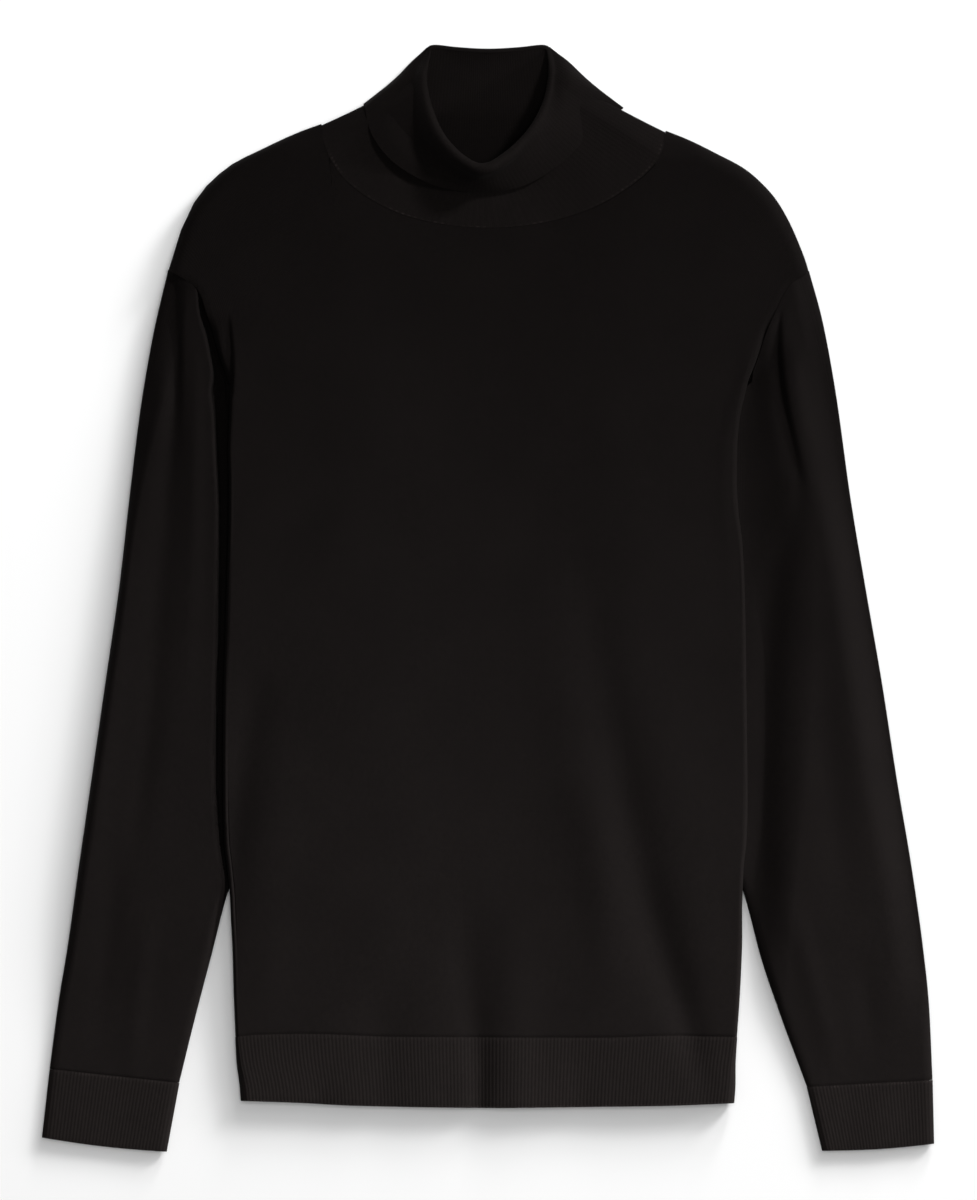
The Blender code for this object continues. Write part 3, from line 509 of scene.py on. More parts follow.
def shoulder_turn(x, y, full, seam_z):
    """Height of cloth that turns down from its full height to the shoulder seam, slowly at the neck."""
    xs = np.linspace(SHOULDER_EDGE["x"][0], SHOULDER_EDGE["x"][-1], 24)
    edge = np.stack([xs, read(SHOULDER_EDGE, xs, "y")], axis=1)
    runs = zip(edge[:-1], edge[1:])
    away = np.min([from_run(np.abs(x), y, start, end)[0] for start, end in runs], axis=0)
    from_neck = np.hypot(np.abs(x) - edge[0, 0], y - edge[0, 1])
    reach = SHOULDER_ROUND + NECK_ROUND * fade(from_neck, 0, NECK_ROUND + SHOULDER_ROUND)
    near = np.clip(1 - away / reach, 0, 1)
    return seam_z + (full - seam_z) * np.sqrt(1 - near ** 2)


def leave_out(grid, above, count):
    """Which cells a panel has: the rows above leave out the outermost columns, a count of them at each end.

    Those columns carry on past the edge that is left, so that its wall ends square.
    """
    for place in range(count)[::-1]:
        grid[above, place] = 2 * grid[above, place + 1] - grid[above, place + 2]
        grid[above, -1 - place] = 2 * grid[above, -2 - place] - grid[above, -3 - place]
    present = np.ones((grid.shape[0] - 1, grid.shape[1] - 1), bool)
    present[above[1:], :count] = False
    present[above[1:], -count:] = False
    return present


def raise_rows(face, rows, start_y, drop):
    """Turns rows above a height from a level line, little by little, to the panel's upper edge."""
    across = np.abs(face[-1, :, 0])
    rise = top_edge_y(across, drop) - rows[-1, 0]
    rise -= rise[0] * smooth(across, 0.88 * across[0], across[0])
    start = np.interp(start_y, rows[:, 0], rows[:, 2])
    lifted = np.clip((rows[:, 2] - start) / (rows[-1, 2] - start), 0, 1) ** LIFT_POWER
    face[..., 1] += lifted[:, None] * rise[None, :]


def hem_seam(grid, from_seam):
    """Turns the cloth down into the hem's linked seam, which waves a little."""
    near = np.clip(from_seam, 0, None)[:, None]
    grid[..., 2] -= HEM_SEAM_DIP * fade(near, 0, SEAM_ROUND)
    grid[..., 1] += read(HEM_SEAM_WAVE, grid[..., 0], "rise") * fade(near, 0, 40)


def shift_sides(grid, top=400):
    """Moves each side of the body to where its fold lies, up to a height: neither is quite straight."""
    x, y = grid[..., 0].copy(), grid[..., 1]
    for side, key in ((-1, "left"), (1, "right")):
        grid[..., 0] += side * fade(y, top - 15, top) * read(SIDE_SHIFT, y, key) * smooth(side * x, 60, 150)


def front_panel(finish):
    """The front: across the top, round each side fold and in beneath the body as far as the side seam."""
    rows = panel_rows(3)
    grid = np.array([mirrored(front_half, *row[:2]) for row in rows])
    strip = len(STRIP_PARTS)
    raise_rows(grid[:, strip:-strip], rows, 60, NECK_DROP_FRONT)
    hidden = strip + len(ARC_PARTS)
    x, y, z = np.moveaxis(grid[:, hidden:-hidden], 2, 0)
    z[:] = front_top(x, y) - WALL / 2
    x, y, z = np.moveaxis(grid[:, strip:-strip], 2, 0)
    z[:] = shoulder_turn(x, y, z, SHOULDER_SEAM_Z + 0.7)
    beyond = -x - read(UNDERARM_STEP, y, "away")
    drop = read(UNDERARM_STEP, y, "drop") * smooth(beyond, -0.7, 1.1)
    z[:] = np.maximum(z - drop, np.minimum(z, 7))
    present = leave_out(grid, rows[:, 0] > FOLD_TOP_Y - 8, strip)
    hem_seam(grid, rows[:, 2])
    shift_sides(grid)
    return shell("sweater_front", grid, CLOTH, finish, "front_panel", present)


def back_panel(finish):
    """The back: flat on the surface in the middle, over the sleeves, and folded under with the sides."""
    rows = panel_rows(6)
    grid = np.array([mirrored(back_half, *row[:2]) for row in rows])
    hidden = grid.shape[1] // 2 + 1 - len(FLOOR_PARTS)
    face = grid[:, hidden:-hidden]
    raise_rows(face, rows, 120, NECK_DROP_BACK)
    x, y, z = np.moveaxis(face, 2, 0)
    z += crease_height(x, y, BACK_FOLDS) * smooth(y, -300, -270)
    z[:] = shoulder_turn(x, y, z, SHOULDER_SEAM_Z - 0.7)
    present = leave_out(grid, rows[:, 0] > TUCK_TOP_Y + 1, hidden)
    shift_sides(grid, 175)
    return shell("sweater_back", grid, CLOTH, finish, "back_panel", present)


HEM_BOTTOM = {
    "x": (-172, -131, -93, -61, 1, 77, 119, 172),
    "drop": (1, -0.4, -2.4, -3.2, -4, -3.2, -2.6, -0.6),
}
HEM_SEAM_WAVE = {
    "x": (-172, -156, -122, -63, 77, 127, 147, 172),
    "rise": (0, 1.6, 2.2, 0.2, -0.4, 0.9, 0.5, 0),
}
RIB_PITCH = 2.4
RIB_COLUMNS = 4  # columns of points to each rib


def hem_band(name, node, half_section, finish):
    """A ribbed band that carries a panel's section on down to the hem."""
    seam_y = HEM_SEAM_Y - SEAM
    heights = np.r_[HEM_BOTTOM_Y + np.array((0, 0.6, 1.4, 2.6)),
                    np.linspace(HEM_BOTTOM_Y + 5, seam_y - 4, 10), seam_y - SEAM_ROWS[::-1]]
    grid = np.array([mirrored(half_section, y, edge_half(y)) for y in heights])
    fine = path_length(grid[0])
    count = int(fine[-1] / RIB_PITCH) * RIB_COLUMNS
    places = np.linspace(0, fine[-1], count + 1)
    grid = np.array([resampled(row, fine, places) for row in grid])
    if half_section is front_half:
        x, y, z = np.moveaxis(grid, 2, 0)
        face = (np.abs(x) < edge_half(y) - edge_reach(y)) & (z > 5.5)
        z[:] = np.where(face, front_top(x, y) - WALL / 2, z)
    way = (heights - heights[0]) / (heights[-1] - heights[0])
    drop = read(HEM_BOTTOM, grid[0, :, 0], "drop")
    grid[..., 1] += (1 - way)[:, None] * drop[None, :]
    if half_section is front_half:
        hem_seam(grid, seam_y - heights)
        grid[..., 2] -= 0.5 * fade(heights, HEM_BOTTOM_Y, HEM_BOTTOM_Y + 2.5)[:, None]
    shift_sides(grid)
    return shell(name, grid, RIB_CLOTH, finish, node, ribs=RIB_PITCH, rib_depth=0.13,
                 u=np.arange(count + 1) * RIB_PITCH / RIB_COLUMNS)


# ---- the sleeves

SHOWN_PARTS = np.array((0, 0.02, 0.07, 0.14, 0.24, 0.36, 0.5, 0.64, 0.77, 0.89, 1))
HIDDEN_PARTS = np.array((0.35, 0.7, 0.93, 1))
SHIFT_SHARES = np.array((0, 0, 0, 0.05, 0.15, 0.3, 0.5, 0.7, 0.85, 0.95, 1, 0.65, 0.3, 0.07, 0))
BESIDE_FROM = 0.42  # from here up, a column of the sleeve follows the body's fold
COLUMNS = np.arange(15)
FINE_COLUMNS = np.r_[2 * np.linspace(0, 1, 12)[:-1] ** 2, np.linspace(2, 11, 105),
                     np.linspace(11, 13, 8)[1:-1], 14 - np.linspace(1, 0, 9) ** 2]
# Where each sleeve rises beside the body's fold, by height; how deep the slot beside the fold is; and between
# which heights the sleeve comes up to the body at the armhole.
LEFT_RISE = {
    "y": (-400, -208, -187, -166, -145, -125, -63, -21, 20, 61, 82, 103, 124, 144, 153, 162, 175, 184, 193,
          203, 213, 226),
    "start": (0.5, 0.6, 3.5, 6.4, 8, 8.8, 8.6, 7.5, 7.3, 7.6, 8.5, 9.6, 10.6, 11.3, 8.5, 5.8, 4.2, 3, 1.6,
              -1.4, -4.8, -3),
    "end": (9, 3.4, 5.6, 8.3, 9.9, 10.7, 10.5, 9.4, 9.2, 9.5, 10.4, 11.5, 12.5, 13.2, 10.4, 7.8, 6.1, 4.9,
            3.5, 0.5, -2.9, -1),
    "dip": 2.4,
    "join": (196, 217),
}
RIGHT_RISE = {
    "y": (-400, -208, -187, -166, -145, -125, -63, -21, 20, 61, 82, 103, 124, 144, 170, 200),
    "start": (1.5, 1.5, 1.5, 1.5, 1.5, 1.5, 1, 0.5, -1, -4, -5.2, -5.2, -3.5, -1, 0.5, 0.5),
    "end": (30, 34, 36, 38, 40, 42, 46, 48, 48, 46, 44, 42, 40, 36, 32, 28),
    "dip": 0,
    "join": (148, 192),
}


def armhole_columns(side):
    """Where a sleeve's columns meet the armhole seam, from the shoulder's edge in to the underarm."""
    edge = np.column_stack([BODY_EDGE["half"], BODY_EDGE["y"]])[:7:-1]
    shown = []
    for first, second in zip(edge[:-1], edge[1:]):
        middle_y = (first[1] + second[1]) / 2
        shown += [first, (edge_half(middle_y), middle_y)]
    shown = np.array(shown + [edge[-1]]) + (-0.1, 0.6)
    underarm = np.array((99.5, LEFT_SLEEVE["inner_y"][-1]))
    if side < 0:
        shown[:, 0] += read(SIDE_SHIFT, shown[:, 1], "left")
    hidden = shown[-1] + HIDDEN_PARTS[:, None] * (underarm - shown[-1])
    return np.concatenate([shown, hidden]) * (side, 1)


def column_parts(edge, body):
    """Where the columns of a straight ring stand between the tube's two edges."""
    tries = np.linspace(0, 1, 401)
    line = edge + tries[:, None] * (body - edge)
    beside = np.abs(line[:, 0]) - edge_half(line[:, 1]) - 1
    under = np.flatnonzero((beside < 0) & (line[:, 1] < FOLD_TOP_Y))
    split = np.clip(tries[under[0]] if len(under) else 0.88, 0.35, 0.88)
    return np.r_[SHOWN_PARTS * split, split + HIDDEN_PARTS * (1 - split)]


def sleeve_top_z(x, y, rise, crown, creases, side):
    """Height of a sleeve's upper face: low under the body, then rising beside its fold to the crown."""
    beside = np.abs(x) - edge_half(np.minimum(y, BODY_EDGE["y"][-1]))
    at_body = HIDDEN_Z + (SIDE_Z - 0.6 - HIDDEN_Z) * smooth(y, *rise["join"])
    risen = smooth(beside, read(rise, y, "start"), read(rise, y, "end"))
    free = at_body + (np.maximum(crown, at_body) - at_body) * risen
    free -= rise["dip"] * smooth(beside, 0.3, 2.5) * (1 - risen) * fade(y, 150, 205)
    free += crease_height(x, y, creases) * smooth(beside, 1, 7)
    free += 0.2 * unevenness(x, y, 60, 8 + side) * smooth(beside, 2, 20)
    return np.maximum(free, HIDDEN_Z - rise["dip"])


def sleeve_ring(upper, straight, across, width, height, outer_slope):
    """The middle of one closed ring of a sleeve: its upper face, then its lower face back to the start."""
    near = np.clip(1 - np.minimum(across, 1 - across) * width / EDGE_ROUND, 0, 1)
    fall = outer_slope * fade(across * width, 0, OUTER_REACH) ** 1.5
    level = height / 2
    faces = []
    for line, reach in ((upper, height * (1 - fall) - level - CLOTH / 2), (straight, CLOTH / 2 - level)):
        middle = (line[0] + line[-1]) / 2
        line = middle + (line - middle) * (1 - CLOTH / width)
        faces.append(np.column_stack([line, level + reach * np.sqrt(1 - near ** 2)]))
    return np.concatenate([faces[0], faces[1][-2:0:-1]])


def edges(table, at):
    """A laid sleeve's outer edge and the one by the body, at a part of its length."""
    return np.array([[read(table, at, which + axis) for axis in "xy"] for which in ("outer_", "inner_")])


def sleeve(node, side, table, rise, creases, outer_slope, finish):
    """A flat tube from the cuff seam up to the armhole, open at both ends."""
    seam = through(armhole_columns(side), COLUMNS, FINE_COLUMNS)
    shares = curve(FINE_COLUMNS, COLUMNS, SHIFT_SHARES)
    stations = np.r_[SEAM_STATIONS, np.linspace(0.008, 0.96, 168)[:-1], np.linspace(0.96, 1, 14)]
    rings = []
    for station in stations:
        edge, body = edges(table, station)
        across = curve(FINE_COLUMNS, COLUMNS, column_parts(edge, body))
        straight = edge + across[:, None] * (body - edge)
        bend = smooth(station, 0.70, 1)
        upper = straight + bend * (seam - (seam[0] + across[:, None] * (seam[-1] - seam[0])))
        if station > BESIDE_FROM:
            split = np.argmin(np.abs(FINE_COLUMNS - 10))
            wanted = side * (edge_half(upper[split, 1]) + 0.9)
            upper[:, 0] += shares * (wanted - upper[split, 0]) * smooth(station, BESIDE_FROM, 0.48)
        crown = CUFF_HEIGHT + (SLEEVE_CROWN - CUFF_HEIGHT) * smooth(station, 0, 0.35)
        crown += (SIDE_Z - 1 - SLEEVE_CROWN) * smooth(station, 0.75, 1)
        width = np.linalg.norm(body - edge)
        height = sleeve_top_z(upper[:, 0], upper[:, 1], rise, crown, creases, side)
        height -= SEAM_DIP * fade(station * SLEEVE_LENGTH, 0, SEAM_ROUND)
        slope = outer_slope * smooth(station, 0.02, 0.2) * fade(station, 0.86, 1)
        rings.append(sleeve_ring(upper, straight, across, width, height, slope))
    return shell("sweater_" + node, np.array(rings)[:, ::-side], CLOTH, finish, node, closed=True)


def cuff(node, side, table, finish):
    """A ribbed band that carries the sleeve's flat tube on down to the wrist."""
    start, end = edges(table, 0), np.array(CUFF_ENDS[side])
    down = unit(end[0] - start[0])
    across = (1 - np.cos(np.linspace(0, np.pi, 120))) / 2
    rings = []
    for part in np.r_[SEAM_ROWS / CUFF_LENGTH, np.linspace(0.1, 0.95, 10), 0.975, 0.99, 1]:
        edge, body = start + down * SEAM * (1 - part) + part * (end - start)
        line = edge + across[:, None] * (body - edge)
        line += (CUFF_BOW * part * np.sin(np.pi * across))[:, None] * down
        height = CUFF_HEIGHT + 0.25 * unevenness(line[:, 0], line[:, 1], 45, 20 + (side > 0))
        height -= SEAM_DIP * fade(part * CUFF_LENGTH, 0, SEAM_ROUND) + 0.4 * smooth(part, 0.96, 1)
        rings.append(sleeve_ring(line, line, across, np.linalg.norm(body - edge), height, 0))
    ring = np.array(rings)
    length = path_length(ring[0])
    whole = length[-1] + np.linalg.norm(ring[0, 0] - ring[0, -1])
    count = int(whole / RIB_PITCH) * RIB_COLUMNS
    places = np.arange(count) * whole / count
    closed_rows = np.concatenate([ring, ring[:, :1]], axis=1)
    grid = np.array([resampled(row, np.append(length, whole), places) for row in closed_rows])
    return shell("sweater_" + node, grid[:, ::-side], RIB_CLOTH, finish, node, closed=True,
                 ribs=RIB_PITCH, rib_depth=0.12, u=np.arange(count) * RIB_PITCH / RIB_COLUMNS)


# ---- the collar

# Round the collar from the centre front, in degrees: the mouth's inner edge, the radius of the rim's roll,
# three places down the turned-down flap (the last is its edge), and how soon the stand beneath rises.
COLLAR = (
    (0, (-3, 299.2), 3.2, (-2.8, 289.5, 32.5), (-2.5, 284.6, 24.5), (-2, 281, 19), 0.1),
    (20, (12, 307.5), 3, (15.5, 299, 31.5), (19.5, 292, 23.5), (24, 285.5, 18.6), 0.08),
    (40, (27, 322.5), 2.6, (34, 314, 27.5), (40.5, 305.5, 21.6), (47, 298.5, 17.8), 0.09),
    (60, (37, 340), 2.4, (47, 331.5, 23.4), (56.5, 323.5, 19.8), (66, 316, 16.6), 0.14),
    (80, (41.3, 357), 2.1, (54, 349, 19), (67, 340, 14.4), (80, 329.5, 10.8), 0.2),
    (95, (41.9, 368), 2, (57.5, 361, 14.2), (74, 350, 9.6), (90, 338.8, 6.9), 0.34),
    (105, (41.2, 374.4), 1.7, (55.5, 369.2, 6), (71.5, 354.8, 5), (90.4, 339.2, 4.6), 0.45),
    (125, (37.8, 379.8), 1.35, (49, 371, 0.9), (62, 357, 0.9), (80, 338, 0.9), 0.5),
    (145, (22, 378.3), 1.35, (28, 371, 0.9), (36, 357, 0.9), (48, 336, 0.9), 0.5),
    (180, (-0.3, 377.1), 1.35, (0, 371, 0.9), (0, 357, 0.9), (0, 334, 0.9), 0.5),
    (215, (-22, 378.3), 1.35, (-28, 371, 0.9), (-36, 357, 0.9), (-48, 336, 0.9), 0.5),
    (235, (-38, 379.8), 1.35, (-49, 371, 0.9), (-62, 357, 0.9), (-80, 338, 0.9), 0.5),
    (255, (-41, 374.4), 1.6, (-53.2, 368.6, 6), (-68.2, 354.6, 5.3), (-87.8, 339.4, 5.8), 0.35),
    (265, (-42.2, 368), 2.2, (-55.3, 360.4, 10.4), (-71.4, 349.3, 11.4), (-86.8, 337.3, 12.6), 0.18),
    (280, (-43, 357), 2.9, (-57.5, 347, 12.9), (-72.5, 335, 16.2), (-83.5, 323.5, 17.2), 0.08),
    (300, (-39, 338), 3.3, (-55, 325.5, 17.6), (-66, 315.8, 20.2), (-74, 308.5, 20.2), 0.05),
    (320, (-30, 318.5), 3.4, (-43, 307.5, 21.6), (-51.5, 300.3, 21.6), (-57, 295, 21.2), 0.07),
    (340, (-16, 304), 3.3, (-22, 294, 30.5), (-27.5, 288.4, 24), (-32, 284, 20.6), 0.1),
)
COLLAR_RIBS = 150
# Where a rib that is at one angle at the rim ends on the neck seam: behind, the ribs run down side by side.
SEAM_ANGLES = {
    "rim": (0, 60, 80, 90, 96, 105, 125, 145, 180),
    "seam": (0, 60, 79, 89.5, 97, 120, 156, 167, 180),
}
COLLAR_RIB_PITCH = 2.2
PER_RIB = 5
RIM_BACK_Z = 3.7
RIM_RISE = 39.5
STAND_DENT, DENT_ANGLE, DENT_SPREAD = 3.4, 97, 14  # the stand is drawn in at each side of the neck


def collar_seam(angle):
    """The collar's lower edge at the neck seam; angle 0 is the centre front."""
    front = np.cos(angle) > 0
    drop = np.where(front, NECK_DROP_FRONT, NECK_DROP_BACK)
    x = (NECK_HALF_WIDTH - 0.5) * np.sin(angle)
    y = NECK_CENTRE_Y - drop * np.abs(np.cos(angle)) + np.where(front, 0.2, -0.2)
    level = np.where(front, front_top(x, y) - WALL / 2, WALL / 2)
    return np.stack([x, y, shoulder_turn(x, y, level, SHOULDER_SEAM_Z)], axis=-1)


def collar(finish):
    """One wall: up from the neck seam, over at the rim and down outside itself as a turned-down flap."""
    count = COLLAR_RIBS * PER_RIB
    degrees = np.arange(count) * 360 / count
    angle = np.radians(degrees)
    places, *values = zip(*COLLAR)
    mouth, radius, *flap, early = (through(value, places, degrees, around=360) for value in values)
    turned = np.where(degrees > 180, degrees - 360, degrees)
    seam_angle = np.sign(turned) * read(SEAM_ANGLES, np.abs(turned), "seam")
    seam = collar_seam(np.radians(seam_angle))
    front = smooth(np.cos(angle), -0.25, 0.1)
    mouth_z = RIM_BACK_Z + RIM_RISE * (380.5 - mouth[:, 1]) / 81.3
    rim_in = np.column_stack([mouth, np.maximum(mouth_z, RIM_BACK_Z - 0.1)])
    along = np.roll(mouth, -3, axis=0) - np.roll(mouth, 3, axis=0)
    away = unit(np.stack([along[:, 1], -along[:, 0], np.zeros(count)], axis=1))
    up = np.array((0, 0, 1))
    r = radius[:, None]
    rises = (0.35 * early, early, early + 0.42 * (1 - early))
    rows = [seam]
    pulled = -STAND_DENT * np.exp(-((np.abs(turned) - DENT_ANGLE) / DENT_SPREAD) ** 2)
    for share, rise, pull in zip((0.3, 0.6, 0.85), rises, (0.8, 1, 0.6)):
        place = seam + (rim_in - seam) * share
        place[:, 2] = seam[:, 2] + (rim_in[:, 2] - seam[:, 2]) * rise
        place += away * (pull * pulled)[:, None]
        place[:, 2] = np.where(front > 0, place[:, 2], np.maximum(place[:, 2], RIM_BACK_Z))
        rows.append(place)
    rows += [rim_in, rim_in + 0.3 * r * away + 0.72 * r * up * (0.3 + 0.7 * front[:, None])]
    for out, at_front, behind in ((1, 1, 0.15), (1.75, 0.55, 1)):
        rows.append(rim_in + out * r * away + (at_front * front - behind * (1 - front))[:, None] * r * up)
    rows = np.array(rows + flap)
    steps = (0, 2, 4, 5.6, 6.8, 7.3, 7.9, 8.5, 10, 11.2, 12.2)
    between = zip(steps[:-1], steps[1:], (6, 6, 5, 4, 3, 3, 3, 6, 5, 5))
    fine = np.concatenate([np.linspace(a, b, n, endpoint=False) for a, b, n in between] + [steps[-1:]])
    grid = through(rows, steps, fine)
    back_stand = (fine[:, None] < 6.8) & (front[None, :] < 0.05)
    least = WALL / 2 + np.where(back_stand, (RIM_BACK_Z - WALL / 2) * smooth(fine, 0, 2)[:, None], 0)
    grid[..., 2] = np.maximum(grid[..., 2], least)
    made = shell("sweater_collar", grid, RIB_CLOTH, finish, "collar", closed=True,
                 ribs=COLLAR_RIB_PITCH, rib_depth=0.035, u=np.arange(count) * COLLAR_RIB_PITCH / PER_RIB)
    # Behind, the neck seam turns under, so the map there starts beyond its stitches.
    layer = made.data.uv_layers["cloth"].data
    uv = np.empty(2 * len(layer), np.float32)
    layer.foreach_get("uv", uv)
    behind = np.abs(uv[::2] / uv[::2].max() - 0.5) < 0.22
    uv[1::2] += np.where(behind, 4 * MM, 0).astype(np.float32)
    layer.foreach_set("uv", uv)
    return made


CORD_RADIUS = 0.6
CORD_STITCH = 1.9
CORD_SIDES = 8


def armhole_cord(name, side, join, low, high, finish):
    """The linked stitches along an armhole seam: a fine beaded cord, as high as the sleeve's edge."""
    y = np.linspace(low, high, 60)
    x = side * (edge_half(y) + read(SIDE_SHIFT, y, "left" if side < 0 else "right") + 0.2)
    z = HIDDEN_Z + (SIDE_Z - 1.4 - HIDDEN_Z) * smooth(y, *join) - 3.5 * smooth(y, 206, 228)
    path = np.stack([x, y, z], axis=1)
    length = path_length(path)
    count = int(length[-1] / CORD_STITCH) * 6
    places = np.linspace(0, length[-1], count + 1)
    line = resampled(path, length, places)
    along = unit(np.gradient(line, axis=0))
    across = unit(np.cross(along, (0, 0, 1)))
    up = np.cross(across, along)
    beat = np.random.default_rng(len(name)).uniform(0.75, 1.15, count + 1)
    size = CORD_RADIUS * (0.55 + 0.45 * np.abs(np.sin(np.pi * places / CORD_STITCH))) * beat
    started = smooth(places, 0, 12)
    size *= 0.3 + 0.7 * started
    line[:, 2] -= 1.2 * (1 - started)
    corner = np.arange(CORD_SIDES)
    angle = (corner * np.pi / 4)[None, :, None]
    round_it = across[:, None] * np.cos(angle) + up[:, None] * np.sin(angle)
    grid = settle(line[:, None] + size[:, None, None] * round_it)
    row = np.arange(count)[:, None] * CORD_SIDES
    after = (corner + 1) % CORD_SIDES
    faces = np.stack([row + corner, row + after, row + CORD_SIDES + after, row + CORD_SIDES + corner], axis=2)
    faces = faces.reshape(-1, 4).tolist() + [corner[::-1].tolist(), (count * CORD_SIDES + corner).tolist()]
    uv = np.full(2 * sum(map(len, faces)), 20 * MM)
    return add_piece(name, grid.reshape(-1, 3), faces, uv, finish)


# ---- materials

def set_inputs(node, **values):
    """Gives a node's inputs their values; an underscore stands for a space."""
    for key, value in values.items():
        node.inputs[key.replace("_", " ")].default_value = value


def knit_material(name, colour, wale, course, bump, sheen, seam_highlight_pitch=0):
    """Fine knit: columns of V-shaped stitches, a soft fuzz over them and slightly uneven dye.

    Where a seam pitch is given, linked stitches that wide show along the edge that the cloth starts from,
    with a painted highlight on them.
    """
    made = bpy.data.materials.new(name)
    made.use_nodes = True
    tree = made.node_tree
    add, link = tree.nodes.new, tree.links.new
    shader = tree.nodes["Principled BSDF"]
    set_inputs(shader, Roughness=0.78, Specular_IOR_Level=0.03, Sheen_Weight=sheen, Sheen_Roughness=0.42,
               Sheen_Tint=(0.9, 0.86, 0.84, 1))
    place = add("ShaderNodeTexCoord")

    def maths(operation, *values):
        """A maths node whose inputs are sockets or numbers."""
        node = add("ShaderNodeMath")
        node.operation = operation
        for socket, value in zip(node.inputs, values):
            if isinstance(value, (int, float)):
                socket.default_value = value
            else:
                link(value, socket)
        return node.outputs[0]

    def noise(scale, detail):
        """Noise that stays with the cloth."""
        node = add("ShaderNodeTexNoise")
        set_inputs(node, Scale=scale, Detail=detail)
        link(place.outputs["Object"], node.inputs["Vector"])
        return node.outputs["Fac"]

    uv = add("ShaderNodeUVMap")
    uv.uv_map = "cloth"
    parts = add("ShaderNodeSeparateXYZ")
    link(uv.outputs[0], parts.inputs[0])
    u, v = parts.outputs[0], parts.outputs[1]
    # A stitch: the legs of its V lean out from the middle of its column, and each is a rounded loop.
    inside = maths("ABSOLUTE", maths("SUBTRACT", maths("FRACT", maths("DIVIDE", u, wale * MM)), 0.5))
    slant = maths("MULTIPLY_ADD", inside, 1.6, maths("DIVIDE", v, course * MM))
    loop = maths("ABSOLUTE", maths("SINE", maths("MULTIPLY", slant, np.pi)))
    off_leg = maths("MULTIPLY", maths("ABSOLUTE", maths("SUBTRACT", inside, 0.25)), 4)
    leg = maths("SUBTRACT", 1, maths("POWER", off_leg, 2))
    stitch = maths("MULTIPLY", maths("POWER", loop, 0.6), leg)
    bumps = add("ShaderNodeBump")
    set_inputs(bumps, Strength=bump, Distance=0.22 * MM)
    link(maths("MULTIPLY_ADD", noise(1500, 3), 0.45, stitch), bumps.inputs["Height"])
    link(bumps.outputs[0], shader.inputs["Normal"])
    # The colour: painted shade between the stitches, uneven in large patches and in fine specks.
    painted_stitch_shade = maths("MULTIPLY_ADD", stitch, 0.12, 0.93)
    uneven = maths("MULTIPLY_ADD", noise(22, 5), 0.34, 0.83)
    grain = maths("MULTIPLY_ADD", noise(420, 2), 0.5, 0.75)
    factor = maths("MULTIPLY", maths("MULTIPLY", painted_stitch_shade, uneven), grain)
    if seam_highlight_pitch:
        # Linked stitches: a painted highlight, a lighter beaded line 1 mm from the edge, which comes and
        # goes.
        off_line = maths("ABSOLUTE", maths("DIVIDE", maths("SUBTRACT", v, 1 * MM), 0.5 * MM))
        line = maths("EXPONENT", maths("MULTIPLY", maths("POWER", off_line, 2), -1))
        beat = maths("ABSOLUTE", maths("SINE", maths("DIVIDE", u, seam_highlight_pitch * MM / np.pi)))
        seam_highlight_beads = maths("MULTIPLY", line, maths("POWER", beat, 3))
        runs = maths("MAXIMUM", maths("MULTIPLY_ADD", noise(70, 2), 5, -2.1), 0.1)
        shown = maths("MULTIPLY", seam_highlight_beads, maths("MINIMUM", runs, 1))
        factor = maths("MULTIPLY", factor, maths("MULTIPLY_ADD", shown, 1.6, 1))
    tint = add("ShaderNodeVectorMath")
    tint.operation = "SCALE"
    tint.inputs[0].default_value = colour
    link(factor, tint.inputs["Scale"])
    link(tint.outputs[0], shader.inputs["Base Color"])
    return made


# ---- build

knit = knit_material("black_plain_knit", BLACK_KNIT, 1.3, 1, 0.35, 0.012)
# The rib carries a painted highlight along its linked seams, in beads 2.2 mm apart.
rib = knit_material("black_rib_knit", BLACK_RIB, 1.2, 1.2, 0.35, 0.012, 2.2)

front = front_panel(knit)
back = back_panel(knit)
hem_front = hem_band("sweater_hem_front", "hem_band_front", front_half, rib)
hem_back = hem_band("sweater_hem_back", "hem_band_back", back_half, rib)
left = sleeve("sleeve_left", -1, LEFT_SLEEVE, LEFT_RISE, LEFT_CREASES, -0.08, knit)
right = sleeve("sleeve_right", 1, RIGHT_SLEEVE, RIGHT_RISE, RIGHT_CREASES, 0.46, knit)
cuff_left = cuff("cuff_left", -1, LEFT_SLEEVE, rib)
cuff_right = cuff("cuff_right", 1, RIGHT_SLEEVE, rib)
neck = collar(rib)
cord_right = armhole_cord("sweater_armhole_cord_right", 1, RIGHT_RISE["join"], 150, 223, knit)
cord_left = armhole_cord("sweater_armhole_cord_left", -1, LEFT_RISE["join"], 184, 223, knit)

# ---- floor, light and camera

FLOOR_HALF = 6
FLOOR_Z = -0.0004
floor_mesh = bpy.data.meshes.new("floor")
corners = ((-1, -1), (1, -1), (1, 1), (-1, 1))
floor_mesh.from_pydata([(x * FLOOR_HALF, y * FLOOR_HALF, FLOOR_Z) for x, y in corners], [], [(0, 1, 2, 3)])
paper = bpy.data.materials.new("white_paper")
paper.use_nodes = True
set_inputs(paper.node_tree.nodes["Principled BSDF"], Base_Color=(0.9, 0.9, 0.9, 1), Roughness=0.9,
           Specular_IOR_Level=0)
floor_mesh.materials.append(paper)
floor = add_object("floor", floor_mesh)
cloth = [thing for thing in bpy.context.scene.objects if thing.type == "MESH" and thing is not floor]

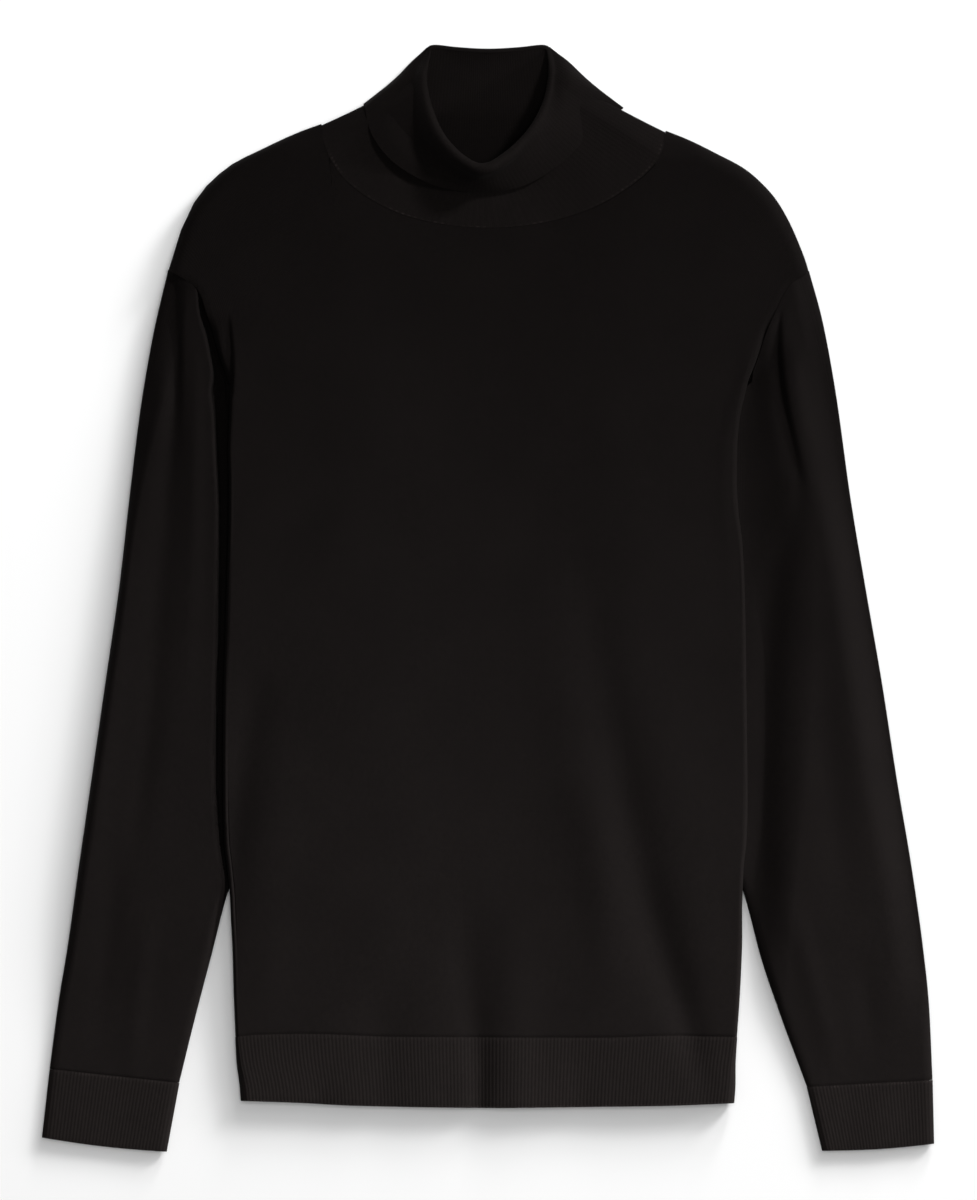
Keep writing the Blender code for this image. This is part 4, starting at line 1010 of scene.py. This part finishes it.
# Most of the light comes from the upper right, and more of it falls low on the sweater than high. The cloth
# and the surface have lamps of their own, so that the shadow is as soft as it should be; everything casts a
# shadow in all of them. A lamp is a spot where it has an angle.
CLOTH_AIM = (-0.05, -0.53, 0)
MIDDLE = (0, 0, 0)
LAMPS = (  # name, power, place, the point it looks at, size, angle
    ("cloth_side", 2800, (5.60, -0.24, 2.052), CLOTH_AIM, 0.5, 0.3),
    ("cloth_upper", 2090, (3.342, 3.108, 3.355), CLOTH_AIM, 0.6, 0.32),
    ("cloth_above", 620, (0.33, -0.38, 5.985), (-0.08, -0.54, 0), 0.8, 0.34),
    ("floor_east", 63, (5.471, 1.991, 1.452), MIDDLE, 1.2, 0),
    ("floor_north", 159, (1.991, 5.471, 1.452), MIDDLE, 1.2, 0),
    ("floor_low", 190, (4.035, 4.035, 1.854), MIDDLE, 1.5, 0),
    ("floor_mid", 134, (3.813, 3.813, 2.63), MIDDLE, 1.8, 0),
    ("floor_top", 66, (1.371, 5.117, 2.817), MIDDLE, 2, 0),
    ("floor_high", 41, (3, 3, 4.243), MIDDLE, 3, 0),
    ("floor_above", 136, (0.148, 0.148, 5.996), MIDDLE, 3, 0),
)
for name, power, place, aim, size, angle in LAMPS:
    data = bpy.data.lights.new(name, "SPOT" if angle else "AREA")
    data.energy = power
    if angle:
        data.shadow_soft_size = size
        data.spot_size = angle
        data.spot_blend = 1
    else:
        data.shape = "DISK"
        data.size = size
    lamp = add_object(name, data)
    lamp.location = place
    lamp.rotation_mode = "QUATERNION"
    way = mathutils.Vector(aim) - mathutils.Vector(place)
    lamp.rotation_quaternion = way.to_track_quat("-Z", "Y")
    lamp.visible_camera = False
    lit = bpy.data.collections.new(name + "_on")
    for thing in cloth if name.startswith("cloth") else (floor,):
        lit.objects.link(thing)
    lamp.light_linking.receiver_collection = lit

world = bpy.data.worlds.new("studio")
world.use_nodes = True
set_inputs(world.node_tree.nodes["Background"], Color=(1, 1, 1, 1), Strength=0.17)
bpy.context.scene.world = world
bpy.context.scene.view_settings.view_transform = "Standard"

# The camera looks straight down. 10 mm above the surface, its frame is as tall as the photograph's 1200
# pixels at 0.69 mm each.
FRAME_HEIGHT = 1200 * 0.69
view = bpy.data.cameras.new("camera")
view.lens = 400
view.sensor_width = 36
view.clip_start = 0.1
view.clip_end = 50
camera = add_object("camera", view)
away = FRAME_HEIGHT * view.lens / view.sensor_width
camera.location = (0.35 * MM, -1.15 * MM, (away + 10) * MM)
bpy.context.scene.camera = camera
